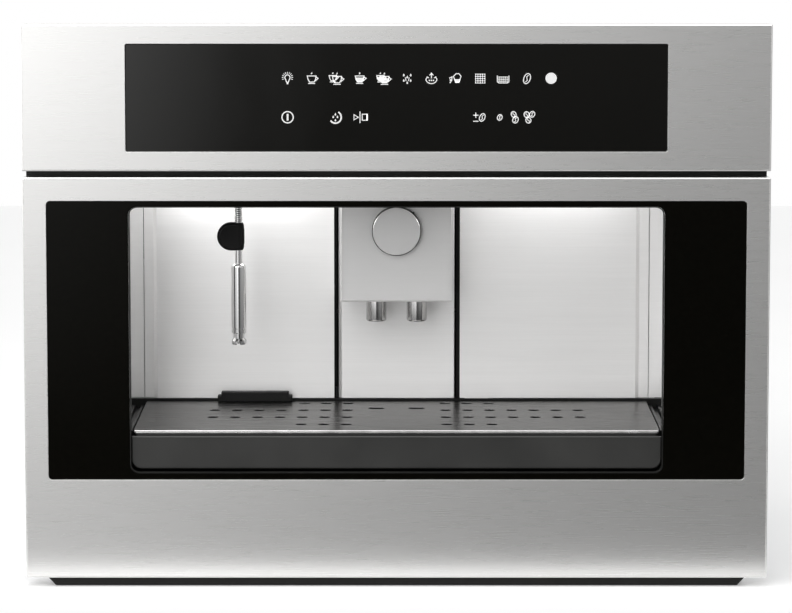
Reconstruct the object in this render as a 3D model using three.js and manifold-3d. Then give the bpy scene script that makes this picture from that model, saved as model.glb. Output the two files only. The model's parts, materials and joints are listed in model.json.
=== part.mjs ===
// A built-in coffee machine: a steel and black glass front on a chassis that pulls out of its niche on
// telescopic slides. Millimetres, +Z up. The front looks along -Y, and the origin is on the niche floor, in
// the middle of the width and of the depth. Inside the machine's group, y is the depth behind the front plane.
import * as THREE from "three";
import { mergeVertices } from "three/addons/utils/BufferGeometryUtils.js";
import Module from "manifold-3d";

const wasm = await Module();
wasm.setup();

// ---- fits and sheet ----
const GAP = 0.3; // between pieces that touch
const PLAY = 0.4; // between pieces that slide or turn on each other
const SHEET = 1.5; // folded steel sheet
const CASE_SHEET = 1.5; // outer casing
const OVERCUT = 2; // how far a cutting form runs past what it cuts

// ---- front ----
const FRONT_WIDTH = 597;
const FRONT_HEIGHT = 446;
const FRONT_FOOT = 7.3; // lower edge of the front above the niche floor
const DEPTH = 398;
const FASCIA_DEPTH = 19;
const CONTROL_HEIGHT = 117;
const FASCIA_SPLIT = 5.2; // black line between the two fascias
const CONTROL_GLASS_WIDTH = 431;
const CONTROL_GLASS_HEIGHT = 85.5;
const CONTROL_GLASS_RADIUS = 1.2;
const CONTROL_GLASS_THICK = 4;
const GLASS_SET = 0.2; // glass faces behind the steel face
const HOUSING_RIM = 8;
const HOUSING_DEPTH = 22;
const BOARD_THICK = 1.6;
const BEZEL_SIDE_MARGIN = 19.1; // steel beside the bezel
const BEZEL_RISE = 80.3; // above the lower fascia's lower edge
const BEZEL_TOP_MARGIN = 18.8; // steel above the bezel
const BEZEL_RADIUS = 3;
const BEZEL_THICK = 5;
const OPENING_WIDTH = 428.5;
const OPENING_SILL = 5; // glass under the opening
const OPENING_LINTEL = 4.2; // glass over the opening
const OPENING_RADIUS = 7.5;
const LINER_WALL = 2;
const FRAME_THICK = 3;
const FRAME_INSET = 1.5;
const BUFFER_CLEARANCE = 3; // buffer strips on the frame's back, beside the casing
const BUFFER_THICK = 1;
const TRIM_INSET = 17.5; // trim's end from the front's side
const TRIM_FOOT = 0.5;
const TRIM_START = 4;
const TRIM_CHAMFER = 6;
const TRIM_TAB_TOP = 40;

// ---- chassis ----
const CHASSIS_INSET = 21.5; // casing from the front's side
const CHASSIS_CLEARANCE = 5; // base plate above the rails
const CHASSIS_DROP = 21.3; // casing below the front's top
const CASE_FLANGE = 16;
const VENT_LENGTH = 46;
const VENT_HEIGHT = 4;
const VENT_PITCH = 11;
const VENT_ROWS = 7;
const VENT_INSET = 60; // vent columns from the casing's ends
const VENT_RISE = 40; // vents above the base plate and below the cover
const BACK_VENTS_TOP = [-180, -110, 60, 130];
const BACK_VENTS_LOW = [0, 70];

// ---- cavity ----
const CAVITY_MARGIN = 21.75; // cavity past the opening, each side
const CAVITY_DEPTH = 165; // front plane to the rear walls
const CEILING_DROP = 1.1; // ceiling below the lower fascia's top
const WALL_STAND = 2.2; // rear walls' foot above the cup plate
const WALL_CREASE = 30.5; // the rear walls' crease from the cavity's side
const CREASE_STEP = 3;
const WALL_END_INSET = 22.5; // the rear walls' end from the cavity's side
const DOOR_WIDTH = 97.8;
const DOOR_THICK = 7.8;
const DOOR_GAP_LEFT = 3.8;
const DOOR_GAP_RIGHT = 4.7;
const DOOR_CHAMFER = 2.6; // clears the left wall's edge as the door opens
const PIN_RADIUS = 1.2;
const PIN_LENGTH = 2;
const EAR_RADIUS = 1.6;
const EAR_HEIGHT = 9;
const LAMP_START = 50;
const LAMP_WIDTH = 130;
const LAMP_THICK = 3;
const LAMP_DEPTH = 14;

// ---- drip tray ----
const TRAY_SIDE_GAP = 1.2; // each side of the tray front in the opening
const TRAY_RISE = 3.2; // tray front above the opening's lower edge
const TRAY_FRONT_HEIGHT = 26.4;
const TRAY_FRONT_SET = 3;
const TRAY_FRONT_THICK = 3.5;
const TRAY_FRONT_RADIUS = 8;
const TRAY_WALL = 2.5;
const TRAY_END_GAP = 7; // basin to the rear walls' face
const BED_RIB_X = 150;
const TRAY_BED_THICK = 3;
const GUIDE_DROP = 3.5; // guides below the cup plate
const GRATE_RISE = 34.2; // cup plate above the opening's lower edge
const GRATE_SHEET = 1.5;
const GRATE_LIP = 2.3;
const HOLE_RADIUS = 4.7;
const HOLE_PITCH = 18.4;
const HOLE_FIRST = 40.8; // innermost column from the middle
const HOLE_COLUMNS = 7;
const HOLE_COLUMNS_SHORT = 3;
const HOLE_ROW_FIRST = 36.5;
const HOLE_ROW_PITCH = 37.5;
const SPILL_LENGTH = 14; // the two long holes under the nozzles
const GRIP_CENTRE = -119.7;
const GRIP_WIDTH = 63;
const GRIP_CROWN_WIDTH = 57;
const GRIP_DEPTH = 9;
const GRIP_HEIGHT = 8.5;
const GRIP_SHOULDER = 3;

// ---- spout ----
const SPOUT_WIDTH = 92.6;
const SPOUT_HANG = 110.2; // spout's lower face below the ceiling
const SPOUT_HEIGHT = 84;
const SPOUT_REACH = 70; // out from the door
const SPOUT_LIFT = 25;
const SPOUT_DROP = 30;
const CARRIAGE_DEPTH = 14.6;
const STEM_WIDTH = 15.2;
const STEM_HEIGHT = 17;
const STEM_RISE = 57; // stem above the spout's lower face
const KEEPER_SIDE = 6; // keeper plate past the slot, each side
const KEEPER_THICK = 3;
const NOZZLE_RADIUS = 8.4;
const NOZZLE_BORE = 3.5;
const NOZZLE_NECK = 5;
const NOZZLE_LENGTH = 19;
const NOZZLE_SPACING = 33.6;
const NOZZLE_INSET = 43; // nozzle axis out from the door
const KNOB_RADIUS = 20.2;
const KNOB_LENGTH = 10.7;
const KNOB_RISE = 59.5;

// ---- steam wand ----
const WAND_X = -129;
const WAND_Y = 65;
const WAND_PIVOT_DROP = 21; // pivot below the ceiling
const WAND_TUBE_RADIUS = 3;
const WAND_TUBE_LENGTH = 109;
const EYE_RADIUS = 5;
const EYE_WIDTH = 6.8;
const KNUCKLE_RADIUS = 8;
const WAND_PIN_RADIUS = 1.6;
const SPIGOT_RADIUS = 4;
const SPIGOT_LENGTH = 9;
const SOCKET_FLANGE = 15;
const SOCKET_NECK = 10.7;
const WAND_GRIP_TOP = 20; // below the pivot
const WAND_GRIP_HEIGHT = 23;
const WAND_GRIP_LEFT = 17.4;
const WAND_GRIP_RIGHT = 4.8;
const WAND_GRIP_THICK = 9;
const SLEEVE_TOP = 54; // below the pivot
const SLEEVE_LENGTH = 57;
const SLEEVE_RADIUS = 6.1;
const TIP_LENGTH = 9;
const TIP_NECK = 4.6;
const TIP_SLOT = 2;

// ---- water ----
const TANK_SIDE_GAP = 10; // tank to the casing's side
const TANK_BACK_GAP = 14; // tank to the casing's back
const TANK_WIDTH = 98;
const TANK_DEPTH = 130;
const TANK_DROP = 188.7; // tank's depth below the cover
const TANK_WALL = 2.5;
const TANK_RADIUS = 8;
const TANK_OUTLET = 9;
const TANK_OUTLET_LENGTH = 12;
const SEAT_THICK = 4;
const LID_THICK = 3;
const LID_LAP = 3;

// ---- beans and grinder ----
const GRINDER_X = 112;
const HOPPER_WIDTH = 124;
const HOPPER_WALL = 2;
const HOPPER_STRAIGHT = 32; // the hopper's straight walls below the cover
const HOPPER_CONE = 50;
const GRINDER_HEIGHT = 88;
const GRINDER_RADIUS = 42;
const HOPPER_NECK = 36;
const HOPPER_NECK_HEIGHT = 10;
const THROAT_WIDTH = 28; // square way from the hopper's neck down to the burr
const BURR_RADIUS = 27.6;
const BURR_HEIGHT = 42;
const BURR_SHAFT = 5.9;
const BURR_CHAMBER_FLOOR = 22;
const BURR_CHAMBER_HEIGHT = 52;
const GRIND_MOTOR_RADIUS = 36;
const GRIND_MOTOR_HEIGHT = 111.7;
const GRIND_LEG_WIDTH = 12;
const GRIND_LEG_X = 20;
const GRIND_LEG_REACH = 28;
const GRIND_ARM_WIDTH = 18;
const GRIND_ARM_HEIGHT = 24;
const GRIND_ARM_DROP = 4;
const GRIND_KNOB_X = 93; // from the grinder's axis
const GRIND_KNOB_RADIUS = 14;
const GRIND_KNOB_HEIGHT = 7.5;
const GRIND_STEM_RADIUS = 4;
const DUCT_WIDTH = 26;
const DUCT_HEIGHT = 20;
const DUCT_WALL = 2.5;

// ---- brewing ----
const BREW_SETBACK = 73; // brew chamber's axis behind the rear walls' face
const BAY_WIDTH = 116;
const BAY_WALL = 7.5;
const BAY_LAP = 5; // bay below the rear walls' foot
const BAY_FLOOR = 6;
const BAY_REACH = 62; // bay behind the brew chamber's axis
const BAY_BACK = 4;
const BAY_CEILING = 4;
const BAY_LEG = 4;
const BAY_LEG_REACH = 50;
const SHELF_SHARE = 0.362; // bin's share of the bay's height, up to the shelf
const SHELF_THICK = 3;
const PUCK_HOLE = 50;
const BIN_CLEARANCE = 2.7; // bin below the shelf
const BIN_WALL = 2;
const CHAMBER_RADIUS = 30;
const CHAMBER_BORE = 22;
const CHAMBER_SHARE = 0.327; // chamber's share of the bay's height
const CHAMBER_FLANGE = 80;
const PISTON_RADIUS = 21.6;
const PISTON_REST = 4; // piston above the chamber's rim
const PISTON_HEAD = 10;
const PISTON_STEM_RADIUS = 9;
const PISTON_HEADROOM = 3.7; // piston's stem below the bay's ceiling
const SCREW_RADIUS = 5;
const SCREW_REACH = 13; // into the gear motor
const GEAR_MOTOR_WIDTH = 60;
const GEAR_MOTOR_HEIGHT = 32;
const GEAR_CAN_RADIUS = 18;
const GEAR_CAN_HEIGHT = 46;
const GEAR_CAN_Y = 18;
const GEAR_FRONT = 25;
const GEAR_BACK = 40;

// ---- heat, pump, electrics ----
const BOILER_SIDE = 82; // from the casing's side
const BOILER_INSET = 68; // boiler's axis from the machine's back
const BOILER_RADIUS = 36;
const BOILER_HEIGHT = 108;
const PUMP_SIDE = 170;
const PUMP_INSET = 63;
const PUMP_RADIUS = 22;
const PUMP_LENGTH = 92;
const PUMP_NOZZLE = 16;
const PUMP_NOZZLE_RADIUS = 6;
const CRADLE_X = 28;
const CRADLE_WIDTH = 10;
const CRADLE_REACH = 18;
const POWER_BOARD_SIDE = 145;
const POWER_BOARD_Y = 106;
const POWER_BOARD_WIDTH = 180;
const POWER_BOARD_DEPTH = 92;
const STANDOFF = 8;
// The power board's components: x and y from its middle, width, depth and height.
const TRANSFORMER = [-55, 12, 44, 38, 30];
const CAPACITOR = [0, -20, 18, 18, 16];
const HEAT_SINK = [34, 14, 60, 12, 26];
const PLUG_ROW = [60, -22, 30, 12, 10];
const INLET_SIDE = 52;
const INLET_RISE = 34; // above the base plate's foot
const INLET_WIDTH = 50;
const INLET_HEIGHT = 28;
const INLET_DEPTH = 24;
const PLUG_WIDTH = 24;
const PLUG_HEIGHT = 16.4;
const PLUG_DEPTH = 18;
const ROCKER_WIDTH = 13;
const ROCKER_HEIGHT = 18;

// ---- telescopic slides ----
const RAIL_INSET = 9; // rails' outer face from the casing's side
const RAIL_HEIGHT = 45;
const RAIL_SHEET = 1.8;
const RAIL_FLANGE = 13;
const RAIL_FOOT = 32;
const RAIL_START = 30;
const RAIL_END_GAP = 8; // rails from the machine's back
const RAIL_TAB = 15;

// ---- heights and depths that follow ----
const FRONT_TOP = FRONT_FOOT + FRONT_HEIGHT;
const CONTROL_FOOT = FRONT_TOP - CONTROL_HEIGHT;
const CONTROL_MIDDLE = (FRONT_TOP + CONTROL_FOOT) / 2;
const LOWER_TOP = CONTROL_FOOT - FASCIA_SPLIT;
const BEZEL_FOOT = FRONT_FOOT + BEZEL_RISE;
const BEZEL_TOP = LOWER_TOP - BEZEL_TOP_MARGIN;
const BEZEL_HALF = FRONT_WIDTH / 2 - BEZEL_SIDE_MARGIN;
const OPENING_FOOT = BEZEL_FOOT + OPENING_SILL;
const OPENING_TOP = BEZEL_TOP - OPENING_LINTEL;
const OPENING_HALF = OPENING_WIDTH / 2;
const FRAME_START = FASCIA_DEPTH + GAP;
const FRAME_END = FRAME_START + FRAME_THICK;
const CHASSIS_START = FRAME_END + GAP;
const CHASSIS_HALF = FRONT_WIDTH / 2 - CHASSIS_INSET;
const CHASSIS_FOOT = RAIL_HEIGHT + CHASSIS_CLEARANCE;
const CHASSIS_TOP = FRONT_TOP - CHASSIS_DROP;
const BASE_TOP = CHASSIS_FOOT + CASE_SHEET;
const ON_BASE = BASE_TOP + GAP;
const CAVITY_HALF = OPENING_HALF + CAVITY_MARGIN;
const CAVITY_CEILING = LOWER_TOP - CEILING_DROP;
const GRATE_TOP = OPENING_FOOT + GRATE_RISE;
const WALL_FOOT = GRATE_TOP + WALL_STAND;
const CREASE_X = CAVITY_HALF - WALL_CREASE;
const WALL_END = CAVITY_HALF - WALL_END_INSET;
const WALL_BACK = CAVITY_DEPTH + SHEET;
const BEHIND_WALL = WALL_BACK + GAP;
const WALL_TOP = CAVITY_CEILING - GAP;
const DOOR_HALF = DOOR_WIDTH / 2;
const DOOR_BACK = CAVITY_DEPTH + DOOR_THICK;
const DOOR_TOP = CAVITY_CEILING - 3;
const PIVOT_X = -DOOR_HALF - DOOR_GAP_LEFT / 2;
const PIVOT_Y = CAVITY_DEPTH + DOOR_THICK / 2;
const TRAY_HALF = OPENING_HALF - TRAY_SIDE_GAP;
const TRAY_FOOT = OPENING_FOOT + TRAY_RISE;
const TRAY_BED_TOP = TRAY_FOOT - PLAY;
const TRAY_RIM = GRATE_TOP - GRATE_SHEET - GAP;
const TRAY_END = CAVITY_DEPTH - TRAY_END_GAP;
const BASIN_HALF = TRAY_HALF - 1.5;
const UPSTAND_START = CAVITY_DEPTH - 1.5;
const SPOUT_FOOT = CAVITY_CEILING - SPOUT_HANG;
const SPOUT_TOP = SPOUT_FOOT + SPOUT_HEIGHT;
const SPOUT_START = CAVITY_DEPTH - PLAY - SPOUT_REACH;
const STEM_FOOT = SPOUT_FOOT + STEM_RISE;
const NOZZLE_Y = CAVITY_DEPTH - NOZZLE_INSET;
const WAND_PIVOT = CAVITY_CEILING - WAND_PIVOT_DROP;
const TANK_TOP = CHASSIS_TOP;
const TANK_FOOT = TANK_TOP - TANK_DROP;
const TANK_X = -CHASSIS_HALF + TANK_SIDE_GAP + TANK_WIDTH / 2;
const TANK_Y = DEPTH - TANK_BACK_GAP - TANK_DEPTH / 2;
const HOPPER_LEDGE = CHASSIS_TOP - HOPPER_STRAIGHT;
const GRINDER_TOP = HOPPER_LEDGE - HOPPER_CONE;
const GRINDER_FOOT = GRINDER_TOP - GRINDER_HEIGHT;
const GRIND_MOTOR_FOOT = GRINDER_FOOT - GAP - GRIND_MOTOR_HEIGHT;
const BREW_Y = CAVITY_DEPTH + BREW_SETBACK;
const BAY_HALF = BAY_WIDTH / 2;
const BAY_INSIDE = BAY_HALF - BAY_WALL;
const BAY_MOUTH = DOOR_BACK + PLAY;
const BAY_FOOT = WALL_FOOT - BAY_LAP;
const BAY_END = BREW_Y + BAY_REACH;
const BAY_ROOF = CAVITY_CEILING - BAY_CEILING;
const PISTON_TOP = BAY_ROOF - PISTON_HEADROOM;
const BAY_BOTTOM = BAY_FOOT + BAY_FLOOR;
const BAY_ROOM = BAY_ROOF - BAY_BOTTOM;
const SHELF_HEIGHT = BAY_BOTTOM + SHELF_SHARE * BAY_ROOM;
const CHAMBER_FOOT = SHELF_HEIGHT + SHELF_THICK + GAP;
const CHAMBER_TOP = CHAMBER_FOOT + CHAMBER_SHARE * BAY_ROOM;
const PISTON_FOOT = CHAMBER_TOP + PISTON_REST;
const CASE_BACK = DEPTH - CASE_SHEET;
const BOILER_X = CHASSIS_HALF - BOILER_SIDE;
const BOILER_Y = DEPTH - BOILER_INSET;
const PUMP_X = PUMP_SIDE - CHASSIS_HALF;
const PUMP_Y = DEPTH - PUMP_INSET;
const POWER_BOARD_X = CHASSIS_HALF - POWER_BOARD_SIDE;
const INLET_X = CHASSIS_HALF - INLET_SIDE;
const INLET_Z = CHASSIS_FOOT + INLET_RISE;
const RAIL_X = CHASSIS_HALF - RAIL_INSET;

// ---- finishes ----
function finish(color, roughness, metalness) {
  return new THREE.MeshStandardMaterial({ color, roughness, metalness });
}
const brushedSteel = finish(0xc9c8c6, 0.38, 1);
const polishedSteel = finish(0xb4b3b1, 0.2, 1);
const chrome = finish(0xe2e2e2, 0.08, 1);
const caseSteel = finish(0xa9abac, 0.5, 0.9);
const blackGlass = finish(0x0b0a08, 0.06, 0);
const blackPlastic = finish(0x141413, 0.5, 0);
const greyPlastic = finish(0x383836, 0.45, 0);
const rubber = finish(0x0c0c0b, 0.75, 0);
const clearPlastic = finish(0x9fb4bd, 0.15, 0);
const paleMetal = finish(0xd2d2d0, 0.35, 1);
const castAluminium = finish(0x9c9e9f, 0.45, 1);
const circuitGreen = finish(0x23543a, 0.55, 0);
const lampLens = finish(0xf4f1e6, 0.3, 0);

// ---- solids ----
// A closed geometry as a solid: only positions are kept, and shared corners are merged.
function solid(geometry) {
  const bare = new THREE.BufferGeometry();
  bare.setAttribute("position", geometry.getAttribute("position"));
  if (geometry.index) bare.setIndex(geometry.index);
  const merged = mergeVertices(bare, 1e-3);
  return new wasm.Manifold(
    new wasm.Mesh({
      numProp: 3,
      vertProperties: merged.attributes.position.array,
      triVerts: new Uint32Array(merged.index.array),
    }),
  );
}

function geometryOf(form) {
  const mesh = form.getMesh();
  const geometry = new THREE.BufferGeometry();
  geometry.setAttribute("position", new THREE.BufferAttribute(new Float32Array(mesh.vertProperties), 3));
  geometry.setIndex(new THREE.BufferAttribute(new Uint32Array(mesh.triVerts), 1));
  return geometry;
}

const join = (first, ...others) => others.reduce((all, form) => all.add(form), first);
const cut = (first, ...others) => others.reduce((all, form) => all.subtract(form), first);

// A block between two values on each axis.
function block(x0, x1, y0, y1, z0, z1) {
  const geometry = new THREE.BoxGeometry(x1 - x0, y1 - y0, z1 - z0);
  geometry.translate((x0 + x1) / 2, (y0 + y1) / 2, (z0 + z1) / 2);
  return solid(geometry);
}

// A block that is centred on X.
const slab = (width, y0, y1, z0, z1) => block(-width / 2, width / 2, y0, y1, z0, z1);

// A round bar along one axis, centred on (u, v) in the plane across it.
function bar(axis, radius, u, v, from, to, segments = 24) {
  const geometry = new THREE.CylinderGeometry(radius, radius, to - from, segments);
  const middle = (from + to) / 2;
  if (axis === "x") geometry.rotateZ(-Math.PI / 2).translate(middle, u, v);
  if (axis === "y") geometry.translate(u, middle, v);
  if (axis === "z") geometry.rotateX(Math.PI / 2).translate(u, v, middle);
  return solid(geometry);
}

// A profile of [radius, z] points turned round the Z axis. It runs up the outside and closes on the axis, or on
// itself for a ring.
function turned(profile, x = 0, y = 0, segments = 24) {
  const points = profile.map(([radius, z]) => new THREE.Vector2(radius, z));
  const geometry = new THREE.LatheGeometry(points, segments);
  geometry.rotateX(Math.PI / 2).translate(x, y, 0);
  return solid(geometry);
}

const PLANES = {
  x: [new THREE.Vector3(0, 1, 0), new THREE.Vector3(0, 0, 1), new THREE.Vector3(1, 0, 0)],
  y: [new THREE.Vector3(1, 0, 0), new THREE.Vector3(0, 0, 1), new THREE.Vector3(0, -1, 0)],
  z: [new THREE.Vector3(1, 0, 0), new THREE.Vector3(0, 1, 0), new THREE.Vector3(0, 0, 1)],
};

// An outline drawn across one axis and thick along it. Across x it is drawn in Y and Z, across y in X and Z, and
// across z in X and Y.
function plate(axis, outline, from, to, curveSegments = 3) {
  const geometry = new THREE.ExtrudeGeometry(outline, {
    depth: to - from,
    bevelEnabled: false,
    curveSegments,
  });
  geometry.applyMatrix4(new THREE.Matrix4().makeBasis(...PLANES[axis]));
  const start = axis === "y" ? to : from;
  geometry.translate(...PLANES.z.map((unit, i) => ("xyz"[i] === axis ? start : 0)));
  return solid(geometry);
}

// A rectangle whose lower and upper corners are rounded.
function rounded(u0, u1, v0, v1, low, high = low, Kind = THREE.Shape) {
  const path = new Kind();
  path.moveTo(u0 + low, v0);
  path.lineTo(u1 - low, v0);
  path.absarc(u1 - low, v0 + low, low, -Math.PI / 2, 0);
  path.lineTo(u1, v1 - high);
  path.absarc(u1 - high, v1 - high, high, 0, Math.PI / 2);
  path.lineTo(u0 + high, v1);
  path.absarc(u0 + high, v1 - high, high, Math.PI / 2, Math.PI);
  path.lineTo(u0, v0 + low);
  path.absarc(u0 + low, v0 + low, low, Math.PI, Math.PI * 1.5);
  return path;
}

function polygon(points, mirror = 1) {
  return new THREE.Shape(points.map(([u, v]) => new THREE.Vector2(u * mirror, v)));
}

// The opening in the bezel, grown by a margin all round.
function openingOutline(margin) {
  return rounded(
    -OPENING_HALF - margin,
    OPENING_HALF + margin,
    OPENING_FOOT - margin,
    OPENING_TOP + margin,
    OPENING_RADIUS + margin,
  );
}

// Columns of vent slots as cutting blocks, for a sheet across x or y.
function ventSlots(axis, uMiddles, vFoot, from, to) {
  return uMiddles.flatMap((u) =>
    Array.from({ length: VENT_ROWS }, (_, row) => {
      const along = [u - VENT_LENGTH / 2, u + VENT_LENGTH / 2];
      const through = [from - OVERCUT, to + OVERCUT];
      const spans = axis === "x" ? [...through, ...along] : [...along, ...through];
      const v = vFoot + row * VENT_PITCH;
      return block(...spans, v, v + VENT_HEIGHT);
    }),
  );
}

// ---- scene graph ----
const coffeeMachine = new THREE.Group();

function assembly(parent, x = 0, y = 0, z = 0) {
  const group = new THREE.Group();
  group.position.set(x, y, z);
  parent.add(group);
  return group;
}

function piece(group, name, material, form, x = 0, y = 0, z = 0) {
  const mesh = new THREE.Mesh(geometryOf(form), material);
  mesh.name = name;
  mesh.position.set(x, y, z);
  group.add(mesh);
}

const machine = assembly(coffeeMachine, 0, -DEPTH / 2, 0);
const rails = assembly(coffeeMachine, 0, -DEPTH / 2, 0);

addFront(assembly(machine));
addChassis(assembly(machine));
addCavity(assembly(machine));
addTray(assembly(machine));
addSpout(assembly(machine));
addWand(assembly(machine, WAND_X, WAND_Y, WAND_PIVOT));
addWater(assembly(machine, TANK_X, TANK_Y, 0));
addGrinder(assembly(machine, GRINDER_X, BREW_Y, 0));
addBrewUnit(assembly(machine, 0, BREW_Y, 0));
addHeatAndPower(assembly(machine));
addRails(rails, "right", 1);
addRails(rails, "left", -1);

// A fascia is a shallow steel box, open at the back, with a rounded cut-out in its face.
function fascia(foot, top, cutOut) {
  const half = FRONT_WIDTH / 2;
  return cut(
    block(-half, half, 0, FASCIA_DEPTH, foot, top),
    block(-half + SHEET, half - SHEET, SHEET, FASCIA_DEPTH + OVERCUT, foot + SHEET, top - SHEET),
    plate("y", cutOut, -OVERCUT, SHEET + OVERCUT),
  );
}

function addFront(group) {
  const glassHalf = CONTROL_GLASS_WIDTH / 2;
  const glassRise = CONTROL_GLASS_HEIGHT / 2;
  const glassBack = GLASS_SET + CONTROL_GLASS_THICK;
  const controlCut = (margin) =>
    rounded(
      -glassHalf - margin,
      glassHalf + margin,
      CONTROL_MIDDLE - glassRise - margin,
      CONTROL_MIDDLE + glassRise + margin,
      CONTROL_GLASS_RADIUS + margin,
    );
  const bezelOutline = (margin) =>
    rounded(
      -BEZEL_HALF - margin,
      BEZEL_HALF + margin,
      BEZEL_FOOT - margin,
      BEZEL_TOP + margin,
      BEZEL_RADIUS,
    );

  piece(group, "control_fascia", brushedSteel, fascia(CONTROL_FOOT, FRONT_TOP, controlCut(GAP)));
  piece(group, "control_glass", blackGlass, plate("y", controlCut(0), GLASS_SET, glassBack));
  piece(group, "lower_fascia", brushedSteel, fascia(FRONT_FOOT, LOWER_TOP, bezelOutline(GAP)));

  // The housing holds the glass at its rim and the touch board in its well.
  const housingFront = SHEET + GAP;
  const housingHalf = glassHalf + HOUSING_RIM;
  const housingRise = glassRise + HOUSING_RIM / 2;
  const wellHalf = glassHalf - HOUSING_RIM;
  const wellRise = glassRise - HOUSING_RIM;
  const wall = LINER_WALL;
  const across = (half, rise, y0, y1) =>
    block(-half, half, y0, y1, CONTROL_MIDDLE - rise, CONTROL_MIDDLE + rise);
  piece(
    group,
    "control_housing",
    blackPlastic,
    cut(
      across(housingHalf, housingRise, housingFront, HOUSING_DEPTH),
      plate("y", controlCut(GAP), housingFront - OVERCUT, glassBack + GAP),
      across(wellHalf, wellRise, glassBack, HOUSING_DEPTH - wall),
    ),
  );
  const boardFront = glassBack + GAP;
  const boardBack = boardFront + BOARD_THICK;
  piece(
    group,
    "touch_board",
    circuitGreen,
    join(
      across(wellHalf - GAP, wellRise - GAP, boardFront, boardBack),
      slab(40, boardBack - GAP, boardBack + 2.4, CONTROL_MIDDLE - 12, CONTROL_MIDDLE + 12),
      block(wellHalf - 60, wellHalf - 30, boardBack - GAP, boardBack + 6, CONTROL_MIDDLE - 5, CONTROL_MIDDLE + 5),
    ),
  );

  const bezel = bezelOutline(0);
  bezel.holes.push(openingOutline(0));
  const bezelBack = GLASS_SET + BEZEL_THICK;
  piece(group, "window_bezel", blackGlass, plate("y", bezel, GLASS_SET, bezelBack));

  // The liner backs the bezel, lines the opening and reaches the cavity.
  const linerFace = bezelBack + GAP;
  const channel = cut(
    plate("y", bezelOutline(-2 * LINER_WALL), linerFace + LINER_WALL, FASCIA_DEPTH + OVERCUT),
    plate("y", openingOutline(LINER_WALL), linerFace, FASCIA_DEPTH + 2 * OVERCUT),
  );
  piece(
    group,
    "window_liner",
    blackPlastic,
    cut(
      join(
        plate("y", bezelOutline(-LINER_WALL), linerFace, FASCIA_DEPTH),
        plate("y", openingOutline(LINER_WALL), FASCIA_DEPTH - LINER_WALL, CHASSIS_START + GAP),
      ),
      channel,
      plate("y", openingOutline(0), linerFace - OVERCUT, CHASSIS_START + OVERCUT),
    ),
  );

  const frameHalf = FRONT_WIDTH / 2 - FRAME_INSET;
  const frame = rounded(-frameHalf, frameHalf, FRONT_FOOT + FRAME_INSET, FRONT_TOP - FRAME_INSET, 1);
  frame.holes.push(openingOutline(LINER_WALL + GAP));
  frame.holes.push(
    rounded(
      -housingHalf - GAP,
      housingHalf + GAP,
      CONTROL_MIDDLE - housingRise - GAP,
      CONTROL_MIDDLE + housingRise + GAP,
      1,
    ),
  );
  const bufferStart = CHASSIS_HALF + BUFFER_CLEARANCE;
  const buffer = (x0, x1) => block(x0, x1, FRAME_START, FRAME_END + BUFFER_THICK, CHASSIS_FOOT, CHASSIS_TOP);
  piece(
    group,
    "front_frame",
    blackPlastic,
    join(
      plate("y", frame, FRAME_START, FRAME_END),
      buffer(-frameHalf, -bufferStart),
      buffer(bufferStart, frameHalf),
    ),
  );

  // The strip under the front has slanting ends and a tab behind the front frame.
  const trimHalf = FRONT_WIDTH / 2 - TRIM_INSET;
  const trimTop = FRONT_FOOT - GAP;
  const strip = polygon([
    [-trimHalf + TRIM_CHAMFER, TRIM_FOOT],
    [trimHalf - TRIM_CHAMFER, TRIM_FOOT],
    [trimHalf, trimTop],
    [-trimHalf, trimTop],
  ]);
  piece(
    group,
    "lower_trim",
    blackPlastic,
    join(
      plate("y", strip, TRIM_START, CHASSIS_START + LINER_WALL),
      slab(
        2 * trimHalf - 4 * TRIM_CHAMFER,
        CHASSIS_START,
        CHASSIS_START + LINER_WALL,
        trimTop - LINER_WALL,
        TRIM_TAB_TOP,
      ),
    ),
  );
}

// A sheet with both side edges folded: up for the base, down for the cover.
function foldedSheet(z0, z1, flangeTo) {
  const half = CHASSIS_HALF - CASE_SHEET - GAP;
  const flange = (side) => {
    const xs = [side * half, side * (half - CASE_SHEET)].sort((a, b) => a - b);
    const zs = [flangeTo, (z0 + z1) / 2].sort((a, b) => a - b);
    return block(...xs, CHASSIS_START, CASE_BACK - GAP, ...zs);
  };
  return join(block(-half, half, CHASSIS_START, CASE_BACK - GAP, z0, z1), flange(-1), flange(1));
}

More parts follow.
